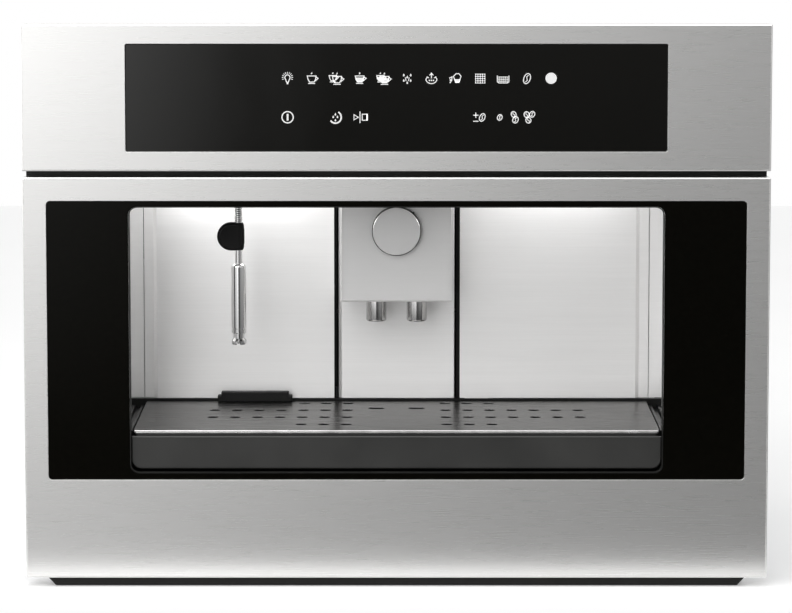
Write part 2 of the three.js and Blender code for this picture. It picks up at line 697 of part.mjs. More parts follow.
function addChassis(group) {
  const coverFoot = CHASSIS_TOP - CASE_SHEET;
  const hopperCut = HOPPER_WIDTH / 2 + PLAY;
  const tankCutX = TANK_WIDTH / 2 + PLAY;
  const tankCutY = TANK_DEPTH / 2 + PLAY;
  const tankHole = rounded(TANK_X - tankCutX, TANK_X + tankCutX, TANK_Y - tankCutY, TANK_Y + tankCutY, TANK_RADIUS);
  const knobX = GRINDER_X + GRIND_KNOB_X;
  piece(
    group,
    "base_plate",
    caseSteel,
    foldedSheet(CHASSIS_FOOT, BASE_TOP, BASE_TOP + CASE_FLANGE),
  );
  piece(
    group,
    "top_cover",
    caseSteel,
    cut(
      foldedSheet(coverFoot, CHASSIS_TOP, coverFoot - CASE_FLANGE),
      plate("z", tankHole, coverFoot - OVERCUT, CHASSIS_TOP + OVERCUT),
      block(
        GRINDER_X - hopperCut,
        GRINDER_X + hopperCut,
        BREW_Y - hopperCut,
        BREW_Y + hopperCut,
        coverFoot - OVERCUT,
        CHASSIS_TOP + OVERCUT,
      ),
      bar("z", GRIND_STEM_RADIUS + PLAY, knobX, BREW_Y, coverFoot - OVERCUT, CHASSIS_TOP + OVERCUT, 16),
    ),
  );

  const outer = CHASSIS_HALF;
  const ventMiddles = [CHASSIS_START + VENT_INSET, CASE_BACK - VENT_INSET];
  const lowVents = CHASSIS_FOOT + VENT_RISE;
  const highVents = CHASSIS_TOP - VENT_RISE - VENT_ROWS * VENT_PITCH;
  const sidePanel = (from, to) =>
    cut(
      block(from, to, CHASSIS_START, CASE_BACK - GAP, CHASSIS_FOOT, CHASSIS_TOP),
      ...ventSlots("x", ventMiddles, lowVents, from, to),
      ...ventSlots("x", ventMiddles.slice(1), highVents, from, to),
    );
  piece(group, "left_side_panel", caseSteel, sidePanel(-outer, -outer + CASE_SHEET));
  piece(group, "right_side_panel", caseSteel, sidePanel(outer - CASE_SHEET, outer));

  const inletHalf = INLET_WIDTH / 2 + GAP;
  const inletRise = INLET_HEIGHT / 2 + GAP;
  piece(
    group,
    "back_cover",
    caseSteel,
    cut(
      block(-outer, outer, CASE_BACK, DEPTH, CHASSIS_FOOT, CHASSIS_TOP),
      block(
        INLET_X - inletHalf,
        INLET_X + inletHalf,
        CASE_BACK - OVERCUT,
        DEPTH + OVERCUT,
        INLET_Z - inletRise,
        INLET_Z + inletRise,
      ),
      ...ventSlots("y", BACK_VENTS_TOP, highVents, CASE_BACK, DEPTH),
      ...ventSlots("y", BACK_VENTS_LOW, lowVents, CASE_BACK, DEPTH),
    ),
  );
}

function addCavity(group) {
  // Sides and ceiling are one folded sheet, with a flange behind the rear walls on each side.
  const liner = polygon([
    [-CAVITY_HALF - SHEET, TRAY_BED_TOP - TRAY_BED_THICK],
    [-CAVITY_HALF, TRAY_BED_TOP - TRAY_BED_THICK],
    [-CAVITY_HALF, CAVITY_CEILING],
    [CAVITY_HALF, CAVITY_CEILING],
    [CAVITY_HALF, TRAY_BED_TOP - TRAY_BED_THICK],
    [CAVITY_HALF + SHEET, TRAY_BED_TOP - TRAY_BED_THICK],
    [CAVITY_HALF + SHEET, CAVITY_CEILING + SHEET],
    [-CAVITY_HALF - SHEET, CAVITY_CEILING + SHEET],
  ]);
  const creaseBack = CAVITY_DEPTH + CREASE_STEP;
  const linerEnd = creaseBack + SHEET;
  const flangeIn = WALL_END + GAP * 2;
  piece(
    group,
    "cavity_liner",
    brushedSteel,
    cut(
      join(
        plate("y", liner, CHASSIS_START, linerEnd),
        block(-CAVITY_HALF - SHEET, -flangeIn, creaseBack, linerEnd, WALL_FOOT, CAVITY_CEILING + SHEET),
        block(flangeIn, CAVITY_HALF + SHEET, creaseBack, linerEnd, WALL_FOOT, CAVITY_CEILING + SHEET),
      ),
      bar("z", SOCKET_NECK + GAP, WAND_X, WAND_Y, CAVITY_CEILING - OVERCUT, CAVITY_CEILING + OVERCUT + SHEET),
    ),
  );

  // Each rear wall steps back at a crease before it meets the liner's flange.
  const rearWall = (inner, side) =>
    plate(
      "z",
      polygon(
        [
          [inner, CAVITY_DEPTH],
          [CREASE_X - CREASE_STEP, CAVITY_DEPTH],
          [CREASE_X, creaseBack],
          [WALL_END, creaseBack],
          [WALL_END, linerEnd],
          [CREASE_X - SHEET, linerEnd],
          [CREASE_X - CREASE_STEP - SHEET, WALL_BACK],
          [inner, WALL_BACK],
        ],
        side,
      ),
      WALL_FOOT,
      WALL_TOP,
    );
  piece(group, "cavity_left_wall", brushedSteel, rearWall(DOOR_HALF + DOOR_GAP_LEFT, -1));
  piece(group, "cavity_right_wall", brushedSteel, rearWall(DOOR_HALF + DOOR_GAP_RIGHT, 1));

  const lampY = WAND_Y;
  const lamp = rounded(0, LAMP_WIDTH, lampY - LAMP_DEPTH / 2, lampY + LAMP_DEPTH / 2, 3);
  piece(group, "cavity_lamp", lampLens, plate("z", lamp, WALL_TOP - LAMP_THICK, WALL_TOP), LAMP_START);

  // The door turns on pins that stand on two ears in the gap beside it; the spout's stem runs in its slot.
  const outline = polygon([
    [-DOOR_HALF + DOOR_CHAMFER, CAVITY_DEPTH],
    [DOOR_HALF, CAVITY_DEPTH],
    [DOOR_HALF, DOOR_BACK],
    [-DOOR_HALF, DOOR_BACK],
    [-DOOR_HALF, CAVITY_DEPTH + DOOR_CHAMFER],
  ]);
  const ear = (foot, pinFoot) =>
    join(
      block(PIVOT_X, -DOOR_HALF + 1, PIVOT_Y - 1, DOOR_BACK, foot, foot + EAR_HEIGHT),
      bar("z", EAR_RADIUS, PIVOT_X, PIVOT_Y, foot, foot + EAR_HEIGHT, 16),
      bar("z", PIN_RADIUS, PIVOT_X, PIVOT_Y, pinFoot, pinFoot + EAR_HEIGHT, 12),
    );
  const slotHalf = STEM_WIDTH / 2 + PLAY;
  const slotFoot = STEM_FOOT - SPOUT_DROP - PLAY;
  const slotTop = STEM_FOOT + STEM_HEIGHT + SPOUT_LIFT + PLAY;
  piece(
    group,
    "service_door",
    brushedSteel,
    cut(
      join(
        plate("z", outline, WALL_FOOT, DOOR_TOP),
        ear(WALL_FOOT, WALL_FOOT - PIN_LENGTH),
        ear(DOOR_TOP - EAR_HEIGHT, DOOR_TOP - EAR_HEIGHT + PIN_LENGTH),
      ),
      block(-slotHalf, slotHalf, CAVITY_DEPTH - OVERCUT, DOOR_BACK + OVERCUT, slotFoot, slotTop),
    ),
  );

  // The bay stands on the base, holds the door's pins and the brew unit, and is black behind the door's gaps.
  const recessLeft = -DOOR_HALF - DOOR_GAP_LEFT - GAP;
  const recessRight = DOOR_HALF + DOOR_GAP_RIGHT + GAP;
  const recessFoot = WALL_FOOT - 2 * GAP;
  const recessTop = DOOR_TOP + 2 * GAP;
  const leg = (from) =>
    block(from, from + BAY_LEG, BREW_Y - BAY_LEG_REACH, BREW_Y + BAY_LEG_REACH, ON_BASE, BAY_FOOT + 1);
  const portHeight = DUCT_HEIGHT + 14;
  const shelfHalf = PUCK_HOLE / 2;
  piece(
    group,
    "brew_bay",
    blackPlastic,
    join(
      cut(
        block(-BAY_HALF, BAY_HALF, BEHIND_WALL, BAY_END, BAY_FOOT, WALL_TOP),
        block(recessLeft, recessRight, BEHIND_WALL - OVERCUT, BAY_MOUTH, recessFoot, recessTop),
        block(-BAY_INSIDE, BAY_INSIDE, BEHIND_WALL, BAY_END - BAY_BACK, BAY_BOTTOM, SHELF_HEIGHT),
        block(
          -BAY_INSIDE,
          BAY_INSIDE,
          BEHIND_WALL,
          BAY_END - BAY_BACK,
          SHELF_HEIGHT + SHELF_THICK,
          BAY_ROOF,
        ),
        block(
          -shelfHalf,
          shelfHalf,
          BREW_Y - shelfHalf,
          BREW_Y + shelfHalf,
          SHELF_HEIGHT - OVERCUT,
          SHELF_HEIGHT + SHELF_THICK + OVERCUT,
        ),
        block(
          BAY_INSIDE - OVERCUT,
          BAY_HALF + OVERCUT,
          BREW_Y - DUCT_WIDTH / 2 - 1,
          BREW_Y + DUCT_WIDTH / 2 + 1,
          CHAMBER_TOP + 6,
          CHAMBER_TOP + 6 + portHeight,
        ),
        bar("z", SCREW_RADIUS + 1, 0, BREW_Y, BAY_ROOF - OVERCUT, WALL_TOP + OVERCUT, 16),
        bar("z", PIN_RADIUS + GAP, PIVOT_X, PIVOT_Y, BAY_FOOT + 1, WALL_TOP - GAP, 12),
      ),
      leg(-BAY_HALF),
      leg(BAY_HALF - BAY_LEG),
    ),
  );
}

function addTray(group) {
  // The bed carries the tray, guides it on both sides, closes the foot of the walls and stands on two ribs.
  const bedHalf = CAVITY_HALF - GAP;
  const bedStart = CHASSIS_START + 2 * GAP;
  const bedFoot = TRAY_BED_TOP - TRAY_BED_THICK;
  const guideTop = GRATE_TOP - GUIDE_DROP;
  const guideIn = TRAY_HALF + TRAY_SIDE_GAP;
  const guide = polygon([
    [guideIn, bedFoot + 1],
    [bedHalf, bedFoot + 1],
    [bedHalf, guideTop - 2],
    [bedHalf - 5, guideTop - 2],
    [bedHalf - 6, guideTop],
    [guideIn + 7, guideTop],
    [guideIn + 6, guideTop - 3],
    [guideIn + 3, guideTop - 3],
    [guideIn + 2, guideTop],
    [guideIn, guideTop],
  ]);
  const mirroredGuide = polygon(guide.getPoints().map((p) => [p.x, p.y]), -1);
  const rib = (x) => block(x - 1.5, x + 1.5, bedStart + 7, UPSTAND_START, ON_BASE, bedFoot + 1);
  piece(
    group,
    "tray_bed",
    blackPlastic,
    join(
      block(-bedHalf, bedHalf, bedStart, WALL_BACK, bedFoot, TRAY_BED_TOP),
      plate("y", guide, bedStart, UPSTAND_START + 1),
      plate("y", mirroredGuide, bedStart, UPSTAND_START + 1),
      block(-bedHalf, bedHalf, UPSTAND_START, WALL_BACK, bedFoot, WALL_FOOT - PLAY),
      rib(-BED_RIB_X),
      rib(BED_RIB_X),
    ),
  );

  const frontBack = TRAY_FRONT_SET + TRAY_FRONT_THICK;
  const frontTop = TRAY_FOOT + TRAY_FRONT_HEIGHT;
  const face = rounded(-TRAY_HALF, TRAY_HALF, TRAY_FOOT, frontTop, TRAY_FRONT_RADIUS, 0.5);
  piece(
    group,
    "drip_tray",
    greyPlastic,
    join(
      plate("y", face, TRAY_FRONT_SET, frontBack),
      cut(
        block(-BASIN_HALF, BASIN_HALF, frontBack - 2 * GAP, TRAY_END, TRAY_FOOT, TRAY_RIM),
        block(
          -BASIN_HALF + TRAY_WALL,
          BASIN_HALF - TRAY_WALL,
          frontBack + 1,
          TRAY_END - TRAY_WALL,
          TRAY_FOOT + TRAY_WALL,
          TRAY_RIM + OVERCUT,
        ),
      ),
    ),
  );

  const grateFront = TRAY_FRONT_SET + 1;
  const grateEnd = TRAY_END + 2.5;
  const grateHole = (x, y) =>
    bar("z", HOLE_RADIUS, x, y, GRATE_TOP - GRATE_SHEET - OVERCUT, GRATE_TOP + OVERCUT, 12);
  const holes = [];
  for (let row = 0; row < 4; row++) {
    const columns = row === 0 || row === 3 ? HOLE_COLUMNS_SHORT : HOLE_COLUMNS;
    for (let column = 0; column < columns; column++) {
      const x = HOLE_FIRST + column * HOLE_PITCH;
      const y = HOLE_ROW_FIRST + row * HOLE_ROW_PITCH;
      holes.push(grateHole(x, y), grateHole(-x, y));
    }
  }
  for (const x of [-NOZZLE_SPACING / 2, NOZZLE_SPACING / 2]) {
    const reach = SPILL_LENGTH / 2 - HOLE_RADIUS;
    holes.push(grateHole(x - reach, NOZZLE_Y), grateHole(x, NOZZLE_Y), grateHole(x + reach, NOZZLE_Y));
  }
  piece(
    group,
    "cup_grate",
    polishedSteel,
    cut(
      join(
        plate(
          "z",
          rounded(-BASIN_HALF, BASIN_HALF, grateFront, grateEnd, 2),
          GRATE_TOP - GRATE_SHEET,
          GRATE_TOP,
        ),
        slab(
          2 * BASIN_HALF - 4,
          grateFront,
          grateFront + GRATE_SHEET,
          GRATE_TOP - GRATE_LIP,
          GRATE_TOP - 0.1,
        ),
      ),
      ...holes,
    ),
  );

  // The grip stands on the grate's rear edge.
  const gripEnd = UPSTAND_START - GAP;
  const gripFoot = GRATE_TOP + GAP;
  const gripRise = (width, z1) =>
    block(
      GRIP_CENTRE - width / 2,
      GRIP_CENTRE + width / 2,
      gripEnd - GRIP_DEPTH,
      gripEnd,
      gripFoot,
      gripFoot + z1,
    );
  piece(
    group,
    "grate_grip",
    rubber,
    join(gripRise(GRIP_WIDTH, GRIP_HEIGHT - GRIP_SHOULDER), gripRise(GRIP_CROWN_WIDTH, GRIP_HEIGHT)),
  );
}

function addSpout(group) {
  const half = SPOUT_WIDTH / 2;
  const spoutBack = CAVITY_DEPTH - PLAY;
  const nozzles = [
    ["nozzle_left", -NOZZLE_SPACING / 2],
    ["nozzle_right", NOZZLE_SPACING / 2],
  ];
  const neckHoles = nozzles.map(([, x]) =>
    bar("z", NOZZLE_NECK + GAP, x, NOZZLE_Y, SPOUT_FOOT - OVERCUT, SPOUT_FOOT + SHEET + OVERCUT, 16),
  );
  piece(
    group,
    "spout_housing",
    brushedSteel,
    cut(
      plate("z", rounded(-half, half, SPOUT_START, spoutBack, 1.5, 0.2), SPOUT_FOOT, SPOUT_TOP, 3),
      block(
        -half + SHEET,
        half - SHEET,
        SPOUT_START + SHEET,
        spoutBack + OVERCUT,
        SPOUT_FOOT + SHEET,
        SPOUT_TOP - SHEET,
      ),
      ...neckHoles,
    ),
  );

  // The carriage fills the housing's back and holds on to the door with its stem and keeper plate.
  const carriageHalf = half - SHEET - GAP;
  const stemHalf = STEM_WIDTH / 2;
  const keeperHalf = stemHalf + KEEPER_SIDE;
  const keeperStart = BAY_MOUTH;
  piece(
    group,
    "spout_carriage",
    blackPlastic,
    join(
      block(
        -carriageHalf,
        carriageHalf,
        spoutBack - CARRIAGE_DEPTH,
        spoutBack,
        SPOUT_FOOT + SHEET + GAP,
        SPOUT_TOP - SHEET - GAP,
      ),
      block(-stemHalf, stemHalf, spoutBack - 1, keeperStart + 1, STEM_FOOT, STEM_FOOT + STEM_HEIGHT),
      block(
        -keeperHalf,
        keeperHalf,
        keeperStart,
        keeperStart + KEEPER_THICK,
        STEM_FOOT - KEEPER_SIDE,
        STEM_FOOT + STEM_HEIGHT + KEEPER_SIDE,
      ),
    ),
  );

  const knobEnd = SPOUT_START - GAP;
  piece(
    group,
    "spout_knob",
    brushedSteel,
    bar("y", KNOB_RADIUS, 0, SPOUT_FOOT + KNOB_RISE, knobEnd - KNOB_LENGTH, knobEnd, 32),
  );

  const nozzleTop = SPOUT_FOOT - GAP;
  const profile = [
    [NOZZLE_BORE, nozzleTop - NOZZLE_LENGTH],
    [NOZZLE_RADIUS - 1.5, nozzleTop - NOZZLE_LENGTH],
    [NOZZLE_RADIUS, nozzleTop - NOZZLE_LENGTH + 1.5],
    [NOZZLE_RADIUS, nozzleTop],
    [NOZZLE_NECK, nozzleTop],
    [NOZZLE_NECK, nozzleTop + SHEET + 5],
    [NOZZLE_BORE, nozzleTop + SHEET + 5],
    [NOZZLE_BORE, nozzleTop - NOZZLE_LENGTH],
  ];
  for (const [name, x] of nozzles) piece(group, name, polishedSteel, turned(profile), x, NOZZLE_Y);
}

// The wand's group has its origin on the tilting pivot.
function addWand(group) {
  const flangeTop = WAND_PIVOT_DROP - GAP;
  const knuckleTop = EYE_RADIUS + 3.7;
  const slotHalf = EYE_WIDTH / 2 + PLAY;
  const spigotTop = knuckleTop + SPIGOT_LENGTH;
  piece(
    group,
    "wand_socket",
    chrome,
    cut(
      turned([
        [0, knuckleTop + GAP],
        [KNUCKLE_RADIUS, knuckleTop + GAP],
        [KNUCKLE_RADIUS, flangeTop - 4],
        [SOCKET_FLANGE, flangeTop - 4],
        [SOCKET_FLANGE, flangeTop],
        [SOCKET_NECK, flangeTop],
        [SOCKET_NECK, flangeTop + SHEET + 14],
        [0, flangeTop + SHEET + 14],
      ]),
      bar("z", SPIGOT_RADIUS + GAP, 0, 0, 0, spigotTop + GAP, 16),
    ),
  );
  piece(
    group,
    "wand_knuckle",
    chrome,
    join(
      cut(
        bar("z", KNUCKLE_RADIUS, 0, 0, -EYE_RADIUS - 1, knuckleTop),
        block(
          -slotHalf,
          slotHalf,
          -KNUCKLE_RADIUS - OVERCUT,
          KNUCKLE_RADIUS + OVERCUT,
          -EYE_RADIUS - OVERCUT,
          EYE_RADIUS + PLAY,
        ),
      ),
      bar("z", SPIGOT_RADIUS, 0, 0, knuckleTop - 1, spigotTop, 16),
      bar("x", WAND_PIN_RADIUS, 0, 0, -slotHalf - 1, slotHalf + 1, 16),
    ),
  );
  piece(
    group,
    "wand_tube",
    chrome,
    cut(
      join(
        bar("x", EYE_RADIUS, 0, 0, -EYE_WIDTH / 2, EYE_WIDTH / 2),
        bar("z", WAND_TUBE_RADIUS, 0, 0, -WAND_TUBE_LENGTH, -EYE_RADIUS + 2, 16),
      ),
      bar("x", WAND_PIN_RADIUS + PLAY, 0, 0, -EYE_WIDTH, EYE_WIDTH, 16),
    ),
  );

  const collarBore = bar("z", WAND_TUBE_RADIUS + GAP, 0, 0, -WAND_TUBE_LENGTH, 0, 16);
  const gripLow = -WAND_GRIP_TOP - WAND_GRIP_HEIGHT;
  const tabRadius = WAND_GRIP_HEIGHT / 2;
  const tab = new THREE.Shape();
  tab.moveTo(-WAND_GRIP_LEFT + tabRadius, gripLow);
  tab.lineTo(WAND_GRIP_RIGHT - 3, gripLow);
  tab.absarc(WAND_GRIP_RIGHT - 3, gripLow + 3, 3, -Math.PI / 2, 0);
  tab.absarc(WAND_GRIP_RIGHT - 3, -WAND_GRIP_TOP - 3, 3, 0, Math.PI / 2);
  tab.absarc(-WAND_GRIP_LEFT + tabRadius, gripLow + tabRadius, tabRadius, Math.PI / 2, Math.PI * 1.5);
  piece(
    group,
    "wand_grip",
    rubber,
    cut(plate("y", tab, -WAND_GRIP_THICK / 2, WAND_GRIP_THICK / 2, 8), collarBore),
  );

  const sleeveFoot = -SLEEVE_TOP - SLEEVE_LENGTH;
  const sleeveBore = WAND_TUBE_RADIUS + GAP;
  piece(
    group,
    "froth_sleeve",
    chrome,
    turned([
      [sleeveBore, sleeveFoot],
      [SLEEVE_RADIUS, sleeveFoot],
      [SLEEVE_RADIUS, -SLEEVE_TOP - 1.5],
      [SLEEVE_RADIUS - 1.5, -SLEEVE_TOP],
      [sleeveBore, -SLEEVE_TOP],
      [sleeveBore, sleeveFoot],
    ]),
  );
  const tipTop = sleeveFoot - GAP;
  const tipFoot = tipTop - TIP_LENGTH;
  const slotTop = tipFoot + 5;
  piece(
    group,
    "steam_tip",
    chrome,
    cut(
      turned([
        [1.5, tipFoot],
        [SLEEVE_RADIUS - 0.6, tipFoot],
        [SLEEVE_RADIUS, tipFoot + 1],
        [SLEEVE_RADIUS, tipFoot + 3],
        [TIP_NECK, tipFoot + 5],
        [TIP_NECK, tipTop],
        [1.5, tipTop],
        [1.5, tipFoot],
      ]),
      block(-TIP_SLOT / 2, TIP_SLOT / 2, -SLEEVE_RADIUS * 2, 0, tipFoot - OVERCUT, slotTop),
      block(0, SLEEVE_RADIUS * 2, -TIP_SLOT / 2, TIP_SLOT / 2, tipFoot - OVERCUT, slotTop),
      block(-SLEEVE_RADIUS * 2, 0, -TIP_SLOT / 2, TIP_SLOT / 2, tipFoot - OVERCUT, slotTop),
    ),
  );
}

// The tank's group has its origin on the tank's vertical middle line.
function addWater(group) {
  const x = TANK_WIDTH / 2;
  const y = TANK_DEPTH / 2;
  const inside = (wall) => rounded(-x + wall, x - wall, -y + wall, y - wall, TANK_RADIUS - wall / 2);
  const seatTop = TANK_FOOT - GAP;
  piece(
    group,
    "water_tank",
    clearPlastic,
    cut(
      join(
        plate("z", inside(0), TANK_FOOT, TANK_TOP),
        bar("z", TANK_OUTLET, 0, 0, TANK_FOOT - TANK_OUTLET_LENGTH, TANK_FOOT + 1, 16),
      ),
      plate("z", inside(TANK_WALL), TANK_FOOT + TANK_WALL, TANK_TOP + OVERCUT),
      bar("z", TANK_OUTLET - TANK_WALL, 0, 0, TANK_FOOT - TANK_OUTLET_LENGTH - 1, TANK_FOOT + OVERCUT + TANK_WALL, 16),
    ),
  );
  const lidFoot = TANK_TOP + GAP;
  piece(
    group,
    "tank_lid",
    blackPlastic,
    join(
      block(-x - LID_LAP, x + LID_LAP, -y - LID_LAP, y + LID_LAP, lidFoot, lidFoot + LID_THICK),
      slab(26, -y - LID_LAP - 6, -y - LID_LAP + 1, lidFoot + 1, lidFoot + LID_THICK),
    ),
  );
  const leg = (from) => block(from, from + SEAT_THICK, -y + 4, y - 4, ON_BASE, seatTop - 1);
  piece(
    group,
    "tank_seat",
    blackPlastic,
    cut(
      join(
        block(-x, x, -y, y, seatTop - SEAT_THICK, seatTop),
        leg(-x + 4),
        leg(x - 4 - SEAT_THICK),
      ),
      bar("z", TANK_OUTLET + PLAY, 0, 0, seatTop - SEAT_THICK - OVERCUT, seatTop + OVERCUT, 16),
    ),
  );
}

// A square funnel between two heights, as a four-sided frustum.
function funnel(widthTop, widthFoot, z0, z1) {
  const corner = Math.SQRT1_2;
  const geometry = new THREE.CylinderGeometry(widthTop * corner, widthFoot * corner, z1 - z0, 4);
  geometry.rotateY(Math.PI / 4).rotateX(Math.PI / 2).translate(0, 0, (z0 + z1) / 2);
  return solid(geometry);
}

// The grinder's group has its origin on the burr's vertical axis.
function addGrinder(group) {
  const rimFoot = CHASSIS_TOP + GAP;
  const rimTop = rimFoot + LID_THICK / 2;
  const half = HOPPER_WIDTH / 2;
  const rimHalf = half + LID_LAP;
  const neckFoot = GRINDER_TOP + GAP;
  const neckTop = neckFoot + HOPPER_NECK_HEIGHT;
  const shell = (wall, foot, top) =>
    join(
      block(-half + wall, half - wall, -half + wall, half - wall, HOPPER_LEDGE, top),
      funnel(HOPPER_WIDTH - 2 * wall, HOPPER_NECK - 2 * wall, neckTop, HOPPER_LEDGE + 0.1),
      slab(HOPPER_NECK - 2 * wall, -HOPPER_NECK / 2 + wall, HOPPER_NECK / 2 - wall, foot, neckTop + 0.1),
    );
  piece(
    group,
    "bean_hopper",
    clearPlastic,
    cut(
      join(shell(0, neckFoot, rimTop), slab(2 * rimHalf, -rimHalf, rimHalf, rimFoot, rimTop)),
      shell(HOPPER_WALL, neckFoot - OVERCUT, rimTop + OVERCUT),
    ),
  );
  const lidFoot = rimTop + GAP;
  piece(
    group,
    "hopper_lid",
    blackPlastic,
    join(
      slab(2 * rimHalf, -rimHalf, rimHalf, lidFoot, lidFoot + LID_THICK),
      slab(26, -rimHalf - 6, -rimHalf + 1, lidFoot + 1, lidFoot + LID_THICK),
    ),
  );

  // The duct slopes from the burr chamber down to the rim of the brew chamber.
  const chamberFloor = GRINDER_FOOT + BURR_CHAMBER_FLOOR;
  const chamberTop = chamberFloor + BURR_CHAMBER_HEIGHT;
  const ductFrom = new THREE.Vector2(-BURR_RADIUS, chamberFloor + DUCT_HEIGHT + 3);
  const ductTo = new THREE.Vector2(CHAMBER_RADIUS - GRINDER_X, CHAMBER_TOP + DUCT_HEIGHT / 2 + 3);
  const run = ductFrom.clone().sub(ductTo);
  const duct = (wall, extra) => {
    const length = run.length() + extra;
    const geometry = new THREE.BoxGeometry(length, DUCT_WIDTH - 2 * wall, DUCT_HEIGHT - 2 * wall);
    geometry.translate(length / 2 - extra / 2, 0, 0);
    geometry.rotateY(-run.angle());
    geometry.translate(ductTo.x, 0, ductTo.y);
    return solid(geometry);
  };
  const armEnd = GRIND_KNOB_X + GRIND_STEM_RADIUS + 5;
  piece(
    group,
    "grinder_body",
    castAluminium,
    cut(
      join(
        bar("z", GRINDER_RADIUS, 0, 0, GRINDER_FOOT, GRINDER_TOP, 32),
        duct(0, 0),
        block(
          GRINDER_RADIUS - 4,
          armEnd,
          -GRIND_ARM_WIDTH / 2,
          GRIND_ARM_WIDTH / 2,
          GRINDER_TOP - GRIND_ARM_DROP - GRIND_ARM_HEIGHT,
          GRINDER_TOP - GRIND_ARM_DROP,
        ),
      ),
      bar("z", BURR_RADIUS + PLAY, 0, 0, chamberFloor, chamberTop, 32),
      slab(
        THROAT_WIDTH,
        -THROAT_WIDTH / 2,
        THROAT_WIDTH / 2,
        chamberTop - OVERCUT,
        GRINDER_TOP + OVERCUT,
      ),
      bar("z", BURR_SHAFT + GAP, 0, 0, GRINDER_FOOT - OVERCUT, chamberFloor + OVERCUT, 16),
      duct(DUCT_WALL, 2 * OVERCUT),
      bar("z", GRIND_STEM_RADIUS + PLAY, GRIND_KNOB_X, 0, GRINDER_TOP - 20, GRINDER_TOP, 16),
    ),
  );
  const burrFoot = chamberFloor + 1;
  const motorTop = GRINDER_FOOT - GAP;
  const shaftFoot = motorTop - 22;
  piece(
    group,
    "grinder_burr",
    paleMetal,
    turned([
      [0, shaftFoot],
      [BURR_SHAFT, shaftFoot],
      [BURR_SHAFT, burrFoot],
      [BURR_RADIUS, burrFoot],
      [BURR_RADIUS, burrFoot + 7],
      [BURR_RADIUS / 2, burrFoot + BURR_HEIGHT],
      [0, burrFoot + BURR_HEIGHT],
    ]),
  );
  const motorLeg = (x0) =>
    block(x0, x0 + GRIND_LEG_WIDTH, -GRIND_LEG_REACH, GRIND_LEG_REACH, ON_BASE, GRIND_MOTOR_FOOT + 1);
  piece(
    group,
    "grinder_motor",
    castAluminium,
    cut(
      join(
        bar("z", GRIND_MOTOR_RADIUS, 0, 0, GRIND_MOTOR_FOOT, motorTop),
        motorLeg(-GRIND_LEG_X - GRIND_LEG_WIDTH),
        motorLeg(GRIND_LEG_X),
      ),
      bar("z", BURR_SHAFT + GAP, 0, 0, shaftFoot - 2, motorTop + OVERCUT, 16),
    ),
  );

  const knobFoot = CHASSIS_TOP + GAP;
  piece(
    group,
    "grind_knob",
    blackPlastic,
    join(
      turned([
        [0, knobFoot],
        [GRIND_KNOB_RADIUS, knobFoot],
        [GRIND_KNOB_RADIUS, knobFoot + 3],
        [GRIND_KNOB_RADIUS - 2.5, knobFoot + 3],
        [GRIND_KNOB_RADIUS - 3.5, knobFoot + GRIND_KNOB_HEIGHT],
        [0, knobFoot + GRIND_KNOB_HEIGHT],
      ]),
      bar("z", GRIND_STEM_RADIUS, 0, 0, GRINDER_TOP - 18, knobFoot + 1, 16),
    ),
    GRIND_KNOB_X,
  );
}

// The brew unit's group has its origin on the brew chamber's vertical axis.
function addBrewUnit(group) {
  const binHalf = BAY_INSIDE - 1.5;
  const binStart = BAY_MOUTH + 1.5 - BREW_Y;
  const binEnd = BAY_END - BAY_BACK - 4 - BREW_Y;
  const binFoot = BAY_BOTTOM + GAP;
  const binTop = SHELF_HEIGHT - BIN_CLEARANCE;
  piece(
    group,
    "grounds_container",
    greyPlastic,
    cut(
      block(-binHalf, binHalf, binStart, binEnd, binFoot, binTop),
      block(
        -binHalf + BIN_WALL,
        binHalf - BIN_WALL,
        binStart + BIN_WALL,
        binEnd - BIN_WALL,
        binFoot + BIN_WALL,
        binTop + OVERCUT,
      ),
    ),
  );
  const flange = CHAMBER_FLANGE / 2;
  piece(
    group,
    "brew_chamber",
    greyPlastic,
    cut(
      join(
        block(-flange, flange, -flange, flange, CHAMBER_FOOT, CHAMBER_FOOT + 6),
        bar("z", CHAMBER_RADIUS, 0, 0, CHAMBER_FOOT, CHAMBER_TOP),
      ),
      bar("z", CHAMBER_BORE, 0, 0, CHAMBER_FOOT + 8, CHAMBER_TOP + OVERCUT),
    ),
  );
  const screwFoot = PISTON_FOOT + PISTON_HEAD + 4;
  const gearFoot = WALL_TOP + 2 * GAP;
  const screwTop = gearFoot + SCREW_REACH;
  piece(
    group,
    "brew_piston",
    greyPlastic,
    cut(
      join(
        bar("z", PISTON_RADIUS, 0, 0, PISTON_FOOT, PISTON_FOOT + PISTON_HEAD),
        bar("z", PISTON_STEM_RADIUS, 0, 0, PISTON_FOOT + 1, PISTON_TOP),
      ),
      bar("z", SCREW_RADIUS + PLAY, 0, 0, screwFoot - 2, PISTON_TOP + OVERCUT, 16),
    ),
  );
  piece(
    group,
    "drive_screw",
    paleMetal,
    bar("z", SCREW_RADIUS, 0, 0, screwFoot, screwTop, 16),
  );
  const gearTop = gearFoot + GEAR_MOTOR_HEIGHT;
  piece(
    group,
    "gear_motor",
    blackPlastic,
    cut(
      join(
        slab(GEAR_MOTOR_WIDTH, -GEAR_FRONT, GEAR_BACK, gearFoot, gearTop),
        bar("z", GEAR_CAN_RADIUS, 0, GEAR_CAN_Y, gearTop - 1, gearTop + GEAR_CAN_HEIGHT),
      ),
      bar("z", SCREW_RADIUS + GAP, 0, 0, gearFoot - OVERCUT, screwTop + 1, 16),
    ),
  );
}

